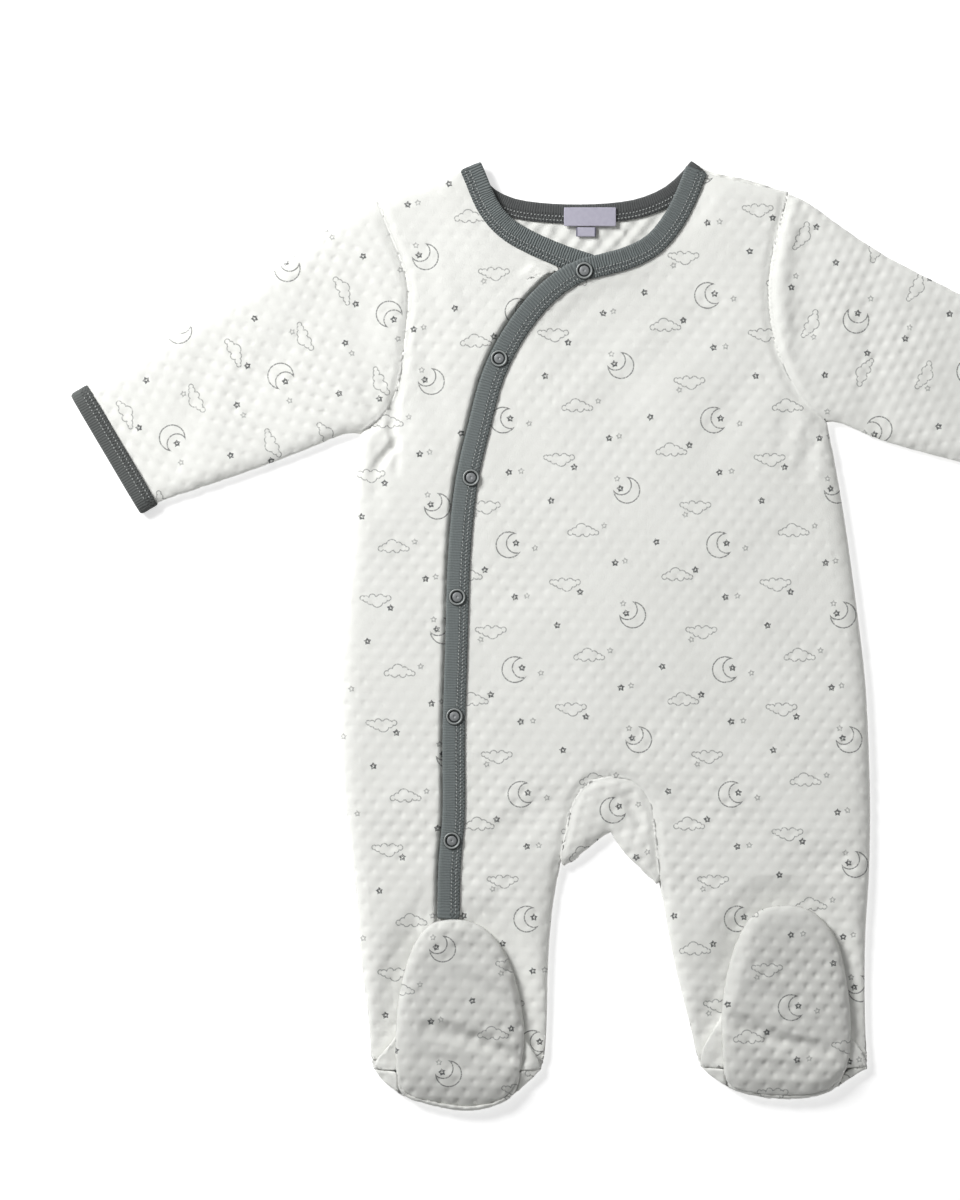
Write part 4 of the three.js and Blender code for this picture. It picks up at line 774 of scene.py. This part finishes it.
# A cut piece of quilted cotton: its solid's form, with creases and quilting
def cloth(name, node, grain, fine=1.9, amount=0.3, ridges=0.10, printed=printed_cotton):
    points, faces = refine(*solid(node), length_wanted(fine, HIDDEN_EDGE))
    sharp = sharp_edges(points, faces, SHARP_TURN)
    points = smooth_lines(points, sharp, 8)
    pinned = np.zeros(len(points), bool)
    pinned[sharp.ravel()] = True
    points = relax(points, faces, 14, np.where(pinned, 0.0, 0.5))
    normals = vertex_normals(points, faces)
    outer = is_outer(points, normals)
    if node == "front_right":
        up_to_wrap(points, outer & (points[:, 2] > HALF_HEIGHT))
    if printed is shaded_sole_cotton:
        plump(points, outer & (points[:, 2] > HALF_HEIGHT))
    normals = vertex_normals(points, faces)
    xy = points[:, :2].copy()
    place = grain(xy)
    top = np.where(outer, points[:, 2], points[:, 2] + CLOTH)
    upper = points[:, 2] > HALF_HEIGHT
    lift = smooth((top - FOLD_Z - 0.3) / (PLATEAU - FOLD_Z - 0.3))
    from_wrap = near_line(wrap, xy, WRAP_REACH)
    off_wrap = smooth((from_wrap - 1.0) / 13.0)
    sewn_lines = (*armholes, arch)
    seams = [smooth(near_line(line, xy, SEAM_REACH) / SEAM_REACH) for line in sewn_lines]
    seam = 1.0 - np.prod(seams, axis=0)
    down = crease_depth(CREASES, xy) + unevenness(xy)
    down = down * off_wrap * lift + 0.9 * seam * lift
    below = crease_depth(BACK_CREASES, xy) * smooth((1.2 - points[:, 2]) / 1.2)
    points[:, 2] += np.where(upper, -down, below * np.where(outer, 1.0, 0.0))
    steep = smooth((np.abs(normals[:, 2]) - 0.15) / 0.5)
    edge = relax(np.stack([np.where(pinned, 0.0, 1.0)] * 3, axis=1), faces, 3, np.ones(len(points)))
    calm = edge[:, 0] * (0.35 + 0.65 * steep) * np.where(outer, 1.0, 0.0)
    fuller = 1.0 + 0.75 * smooth((LEGS_FROM - xy[:, 1]) / 130.0)
    quilt = quilting(place, ridges) * amount * fuller * calm * (1 - 0.7 * seam)
    flat = np.where(points[:, 2] < 0.6, 0.45, 1.0)
    heel = smooth((HEELS_FROM - xy[:, 1]) / 10.0)
    from_necks = [near_line(line, xy, WRAP_REACH) for line in (neck_right, neck_back)]
    bound = np.min([from_wrap, *from_necks], axis=0)
    puff = (0.18 + 0.45 * np.maximum(seam, heel)) * smooth((bound - 10.0) / 4.0)
    puff *= smooth((0.95 - np.abs(normals[:, 2])) / 0.35)
    points += normals * (quilt * flat + puff)[:, None]
    points[:, 2] = np.maximum(points[:, 2], 0.0)
    inside = ~(outer[faces].sum(axis=1) >= 2)
    obj = add_mesh(name, points, faces, inside, [printed, plain_cotton], place)
    if node in MOST_TRIANGLES:
        thin_out(obj, MOST_TRIANGLES[node])
    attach(obj, "root")
    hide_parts(node)
    return obj


# A rib band: its solid's form with round edges, and its own length as the first grain axis
def rib(name, node, line, material, grain=None, tail=0.0):
    points, faces = refine(*solid(node), lambda p, f: np.full(len(f), 1.5))
    points = relax(points, faces, 3, np.full(len(points), 0.5))
    xy = points[:, :2]
    if grain is None:
        run, side, _ = along(line, xy)
        place = np.stack([run, side], axis=1)
        way = line[0][-1, :2] - line[0][-2, :2]
        stretch = tail * smooth((run - line[1][-1] + 6.0) / 6.0)
        points[:, :2] += stretch[:, None] * way / np.hypot(*way)
    else:
        place = grain(xy)
    obj = add_mesh(name, points, faces, np.zeros(len(faces)), [material], place)
    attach(obj, "root")
    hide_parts(node)
    return obj


body_grain = grain_of((66.4, -61.0), 0)
right_grain = grain_of((-38.9, -2.4), 0)
sleeve_right_grain = grain_of((-170.0, 30.0), -63)
sleeve_left_grain = grain_of((140.0, 60.0), 63)
SLEEVE = {"amount": 0.38, "ridges": 0.26}
SOLE = {"fine": 1.5, "amount": 0.44, "printed": shaded_sole_cotton}
cloths = {
    "back": cloth("back_cloth", "back", grain_of((-20.0, -60.0), 0), fine=2.1),
    "front_left": cloth("front_left_cloth", "front_left", body_grain),
    "front_right": cloth("front_right_cloth", "front_right", right_grain),
    "sleeve_right": cloth("sleeve_right_cloth", "sleeve_right", sleeve_right_grain, **SLEEVE),
    "sleeve_left": cloth("sleeve_left_cloth", "sleeve_left", sleeve_left_grain, **SLEEVE),
    "gusset": cloth("gusset_cloth", "gusset", grain_of((9.0, -204.0), 20), fine=1.5),
    "foot_upper_right": cloth("foot_upper_right_cloth", "foot_upper_right", right_grain, fine=2.2),
    "foot_upper_left": cloth("foot_upper_left_cloth", "foot_upper_left", body_grain, fine=2.2),
    "sole_right": cloth("sole_right_cloth", "sole_right", grain_of((-32.8, -307.9), 0), **SOLE),
    "sole_left": cloth("sole_left_cloth", "sole_left", grain_of((104.8, -310.0), 0), **SOLE),
}
cuff_turn = {
    "right": math.degrees(math.atan2(-38.3 - 24.8, -236.5 + 273.8)),
    "left": math.degrees(math.atan2(-26.5 - 40.5, 237.1 - 266.8)),
}
ribs = {
    "wrap_binding": rib("wrap_rib", "wrap_binding", wrap, slate_rib, tail=1.8),
    "neck_binding_right": rib("neck_rib_right", "neck_binding_right", neck_right, slate_rib),
    "neck_binding_back": rib("neck_rib_back", "neck_binding_back", neck_back, back_rib),
    "cuff_right": rib(
        "cuff_rib_right", "cuff_right", None, cuff_rib, grain_of((-273.8, 24.8), cuff_turn["right"])
    ),
    "cuff_left": rib(
        "cuff_rib_left", "cuff_left", None, cuff_rib, grain_of((266.8, 40.5), cuff_turn["left"])
    ),
}


# Snaps: a painted ring on the wrap binding
def metal_material():
    g = Graph("painted_ring")
    _, radius = g.parts(g.grain())
    wear = g.noise(g.node("ShaderNodeTexCoord").outputs["Object"], 900.0, 3.0)
    # The cap and the raised outer ring are mottled at random as wear. The raised ring is painted
    # lighter as a painted highlight, and the channel inside it and the outer rim are painted dark as
    # painted shade.
    cap = g.blend(wear, (0.17, 0.18, 0.185, 1), (0.34, 0.35, 0.355, 1))
    bead_highlight = g.blend(wear, (0.26, 0.28, 0.275, 1), (0.38, 0.40, 0.395, 1))
    groove_shade = (0.022, 0.026, 0.026, 1)
    colour = g.blend(g.ramp(radius, 2.4, 2.7), cap, groove_shade)
    colour = g.blend(g.ramp(radius, 3.3, 3.55), colour, bead_highlight)
    colour = g.blend(g.ramp(radius, 4.3, 4.5), colour, (0.05, 0.057, 0.057, 1))
    g.shader.inputs["Metallic"].default_value = 0.2
    return g.finish(colour, 0.42, g.bump(wear, 0.2, 0.0001))


painted_ring = metal_material()
SNAPS = [
    (-6.5, 86.6), (-52.4, 39.4), (-67.5, -24.8), (-74.9, -89.1), (-76.4, -153.4), (-77.8, -220.3),
]
RING_PROFILE = [
    (0.02, -0.15), (0.02, 0.42), (1.2, 0.4), (2.2, 0.3), (2.6, 0.1), (2.9, -0.02), (3.2, 0.02),
    (3.4, 0.4), (3.65, 0.74), (3.95, 0.88), (4.25, 0.78), (4.5, 0.5), (4.72, 0.2), (4.72, -0.15),
]
RING_SIDES = 56


def ring(name, x, y, z):
    count = len(RING_PROFILE)
    points, faces, places = [], [], []
    for k in range(RING_SIDES):
        turn = TAU * k / RING_SIDES
        for r, h in RING_PROFILE:
            points.append((x + r * math.cos(turn), y + r * math.sin(turn), z + h))
            places.append((turn, r))
    for k in range(RING_SIDES):
        for i in range(count):
            a, b = k * count + i, k * count + (i + 1) % count
            c, d = (b + count) % (count * RING_SIDES), (a + count) % (count * RING_SIDES)
            faces += [(a, c, b), (a, d, c)]
    return add_mesh(
        name, np.array(points), np.array(faces), np.zeros(len(faces)), [painted_ring], np.array(places)
    )


_, _, snap_base = along(wrap, np.array(SNAPS))
for number, ((x, y), base) in enumerate(zip(SNAPS, snap_base), 1):
    obj = ring(f"ring_{number}", x, y, base + BINDING_STACK + 0.3)
    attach(obj, "root")
    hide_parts(f"snap_{number}")
    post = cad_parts[f"snap_post_{number}"].data
    post.materials.clear()
    post.materials.append(painted_ring)


# Coverstitch on the rib: short raised threads in two rows
def thread_material():
    g = Graph("stitch_thread")
    x, y = g.parts(g.grain())
    twist = g.math("SINE", g.math("MULTIPLY", g.math("ADD", x, y), TAU / 0.5))
    # The twist is painted lighter on its ridges and darker in its grooves, in step with its bump:
    # painted highlight and painted shade.
    colour = g.blend(g.ramp(twist, -1.0, 1.0), (0.30, 0.315, 0.31, 1), (0.50, 0.52, 0.51, 1))
    return g.finish(colour, 0.8, g.bump(twist, 0.3, 0.0001), 0.2)


thread = thread_material()
STITCH = {"length": 1.1, "pitch": 1.95, "radius": 0.33}
STITCH_SIDES = 6
STITCH_ROWS = 5


def stitches(name, runs):
    points, faces, places = [], [], []
    for centre, direction in runs:
        start = len(points)
        side = np.array([-direction[1], direction[0], 0.0])
        for i in range(STITCH_ROWS):
            t = i / (STITCH_ROWS - 1) * 2 - 1
            swell = math.sqrt(max(0.0, 1 - t * t)) * 0.85 + 0.15
            middle = centre + np.array([*direction, 0.0]) * t * STITCH["length"] / 2
            for k in range(STITCH_SIDES):
                turn = TAU * k / STITCH_SIDES
                r = STITCH["radius"] * swell
                p = middle + side * r * math.cos(turn)
                points.append(p + np.array([0, 0, r * math.sin(turn)]))
                places.append((t, turn / TAU))
        for i in range(STITCH_ROWS - 1):
            for k in range(STITCH_SIDES):
                a = start + i * STITCH_SIDES + k
                b = start + i * STITCH_SIDES + (k + 1) % STITCH_SIDES
                c, d = b + STITCH_SIDES, a + STITCH_SIDES
                faces += [(a, b, c), (a, c, d)]
        for first, flip in ((start, True), (start + (STITCH_ROWS - 1) * STITCH_SIDES, False)):
            for k in range(1, STITCH_SIDES - 1):
                tri = (first, first + k, first + k + 1)
                faces.append(tri[::-1] if flip else tri)
    obj = add_mesh(
        name, np.array(points), np.array(faces), np.zeros(len(faces)), [thread], np.array(places)
    )
    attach(obj, "root")
    return obj


# Stitches along a binding, at distances from its body side towards its free side
def along_binding(line, free, offsets, start, end, top):
    points, lengths = line
    runs = []
    for row, offset in enumerate(offsets):
        place = start + 0.5 * STITCH["pitch"] * row
        while place < lengths[-1] - end:
            k = min(int(np.searchsorted(lengths, place, side="right")) - 1, len(lengths) - 2)
            t = (place - lengths[k]) / (lengths[k + 1] - lengths[k])
            p = points[k] * (1 - t) + points[k + 1] * t
            d = points[min(k + 2, len(points) - 1)][:2] - points[max(k - 1, 0)][:2]
            d = d / np.hypot(*d)
            n = np.array([-d[1], d[0]]) * free
            centre = np.array([p[0] + n[0] * offset, p[1] + n[1] * offset, p[2] + top])
            if all(np.hypot(centre[0] - x, centre[1] - y) > 5.0 for x, y in SNAPS):
                runs.append((centre, d))
            place += STITCH["pitch"]
    return runs


# Stitches straight across a cuff's upper side, laid on its mesh
def across_cuff(side, start, degrees, out, length):
    mesh = ribs[f"cuff_{side}"].data
    spots = np.empty(len(mesh.vertices) * 3, np.float32)
    mesh.vertices.foreach_get("co", spots)
    spots = spots.reshape(-1, 3) / MM
    turn = math.radians(degrees)
    d = np.array([math.cos(turn), math.sin(turn)])
    n = np.array([-d[1], d[0]]) * out
    runs = []
    for row, offset in enumerate((2.2, 5.0)):
        place = 4.0 + 0.5 * STITCH["pitch"] * row
        while place < length - 4.0:
            xy = np.array(start) + d * place + n * offset
            near = np.hypot(*(spots[:, :2] - xy).T) < 1.7
            runs.append((np.array([*xy, spots[near, 2].max() + 0.02]), d))
            place += STITCH["pitch"]
    return runs


TOP = BINDING_STACK + 0.02
sewn = {
    "wrap_binding": stitches("wrap_stitches", along_binding(wrap, -1, (2.4, 4.7), 2.0, 1.0, TOP)),
    "neck_binding_right": stitches(
        "neck_right_stitches", along_binding(neck_right, 1, (2.4, 4.7), 2.0, 12.0, TOP)
    ),
    "neck_binding_back": stitches(
        "neck_back_stitches", along_binding(neck_back, 1, (1.6, 3.8), 6.0, 6.0, TOP)
    ),
    "cuff_right": stitches(
        "cuff_right_stitches",
        across_cuff("right", (-273.8, 24.8), cuff_turn["right"], -1, 73.3),
    ),
    "cuff_left": stitches(
        "cuff_left_stitches",
        across_cuff("left", (266.8, 40.5), cuff_turn["left"], 1, 73.3),
    ),
}


# Labels, left bare: a tight satin weave with folded ends
TAB_EDGE = 4.75


def label_material(name, folded):
    g = Graph(name)
    grain = g.grain()
    x, y = g.parts(grain)
    weft = g.math("SINE", g.math("MULTIPLY", y, TAU / 0.45))
    warp = g.math("SINE", g.math("MULTIPLY", x, TAU / 0.35))
    patch = g.noise(grain, 0.4, 2.0)
    colour = g.blend(patch, (0.41, 0.395, 0.49, 1), (0.54, 0.525, 0.61, 1))
    # With folded set, a thin dark line is painted along the tab's two side edges: painted shade at its
    # edges.
    edge = g.ramp(g.math("ABSOLUTE", x), TAB_EDGE - 0.3, TAB_EDGE, 0.0, 0.8)
    if folded:
        colour = g.blend(edge, colour, (0.06, 0.06, 0.10, 1))
    height = g.math("ADD", g.math("MULTIPLY", weft, 0.6), g.math("MULTIPLY", warp, 0.4))
    return g.finish(colour, 0.62, g.bump(height, 0.4, 0.00012), 0.1)


def tag(name, node, woven):
    points, faces = refine(*solid(node), lambda p, f: np.full(len(f), 0.7))
    points = relax(points, faces, 2, np.full(len(points), 0.5))
    centre = points.mean(axis=0)
    sag = ((points[:, 0] - centre[0]) / 14.0) ** 2
    points[:, 2] -= 0.25 * sag
    place = points[:, :2] - centre[:2]
    obj = add_mesh(name, points, faces, np.zeros(len(faces)), [woven], place)
    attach(obj, "root")
    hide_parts(node)
    return obj


neck_tag = tag("neck_label", "label", label_material("woven_label", False))
small_tag = tag("small_label", "size_tab", label_material("woven_tab", True))


# The floor, pale and plain
def floor_material():
    g = Graph("floor")
    g.shader.inputs["Emission Color"].default_value = (1, 1, 1, 1)
    g.shader.inputs["Emission Strength"].default_value = 0.55
    return g.finish((0.72, 0.72, 0.72, 1), 0.9)


FLOOR_CORNERS = [(-4, -4), (4, -4), (4, 4), (-4, 4)]
floor = bpy.data.objects.new("floor", bpy.data.meshes.new("floor"))
floor.data.from_pydata([(x, y, -0.0003) for x, y in FLOOR_CORNERS], [], [(0, 1, 2, 3)])
floor.data.materials.append(floor_material())
bpy.context.scene.collection.objects.link(floor)


# Soft studio light, strongest from the upper left
LIT_PLACE = Vector((-0.06, -0.09, 0))


def lamp(name, place, size, power):
    data = bpy.data.lights.new(name, "AREA")
    data.size = size
    data.energy = power
    obj = bpy.data.objects.new(name, data)
    obj.location = place
    obj.rotation_euler = (LIT_PLACE - Vector(place)).to_track_quat("-Z", "Y").to_euler()
    bpy.context.scene.collection.objects.link(obj)


lamp("key", (-1.15, 0.85, 1.0), 0.6, 36)
lamp("fill", (1.7, -0.6, 2.0), 1.4, 4)
world = bpy.data.worlds.new("studio")
world.use_nodes = True
world.node_tree.nodes["Background"].inputs[0].default_value = (1, 1, 1, 1)
world.node_tree.nodes["Background"].inputs[1].default_value = 0.25
bpy.context.scene.world = world
bpy.context.scene.view_settings.view_transform = "Standard"
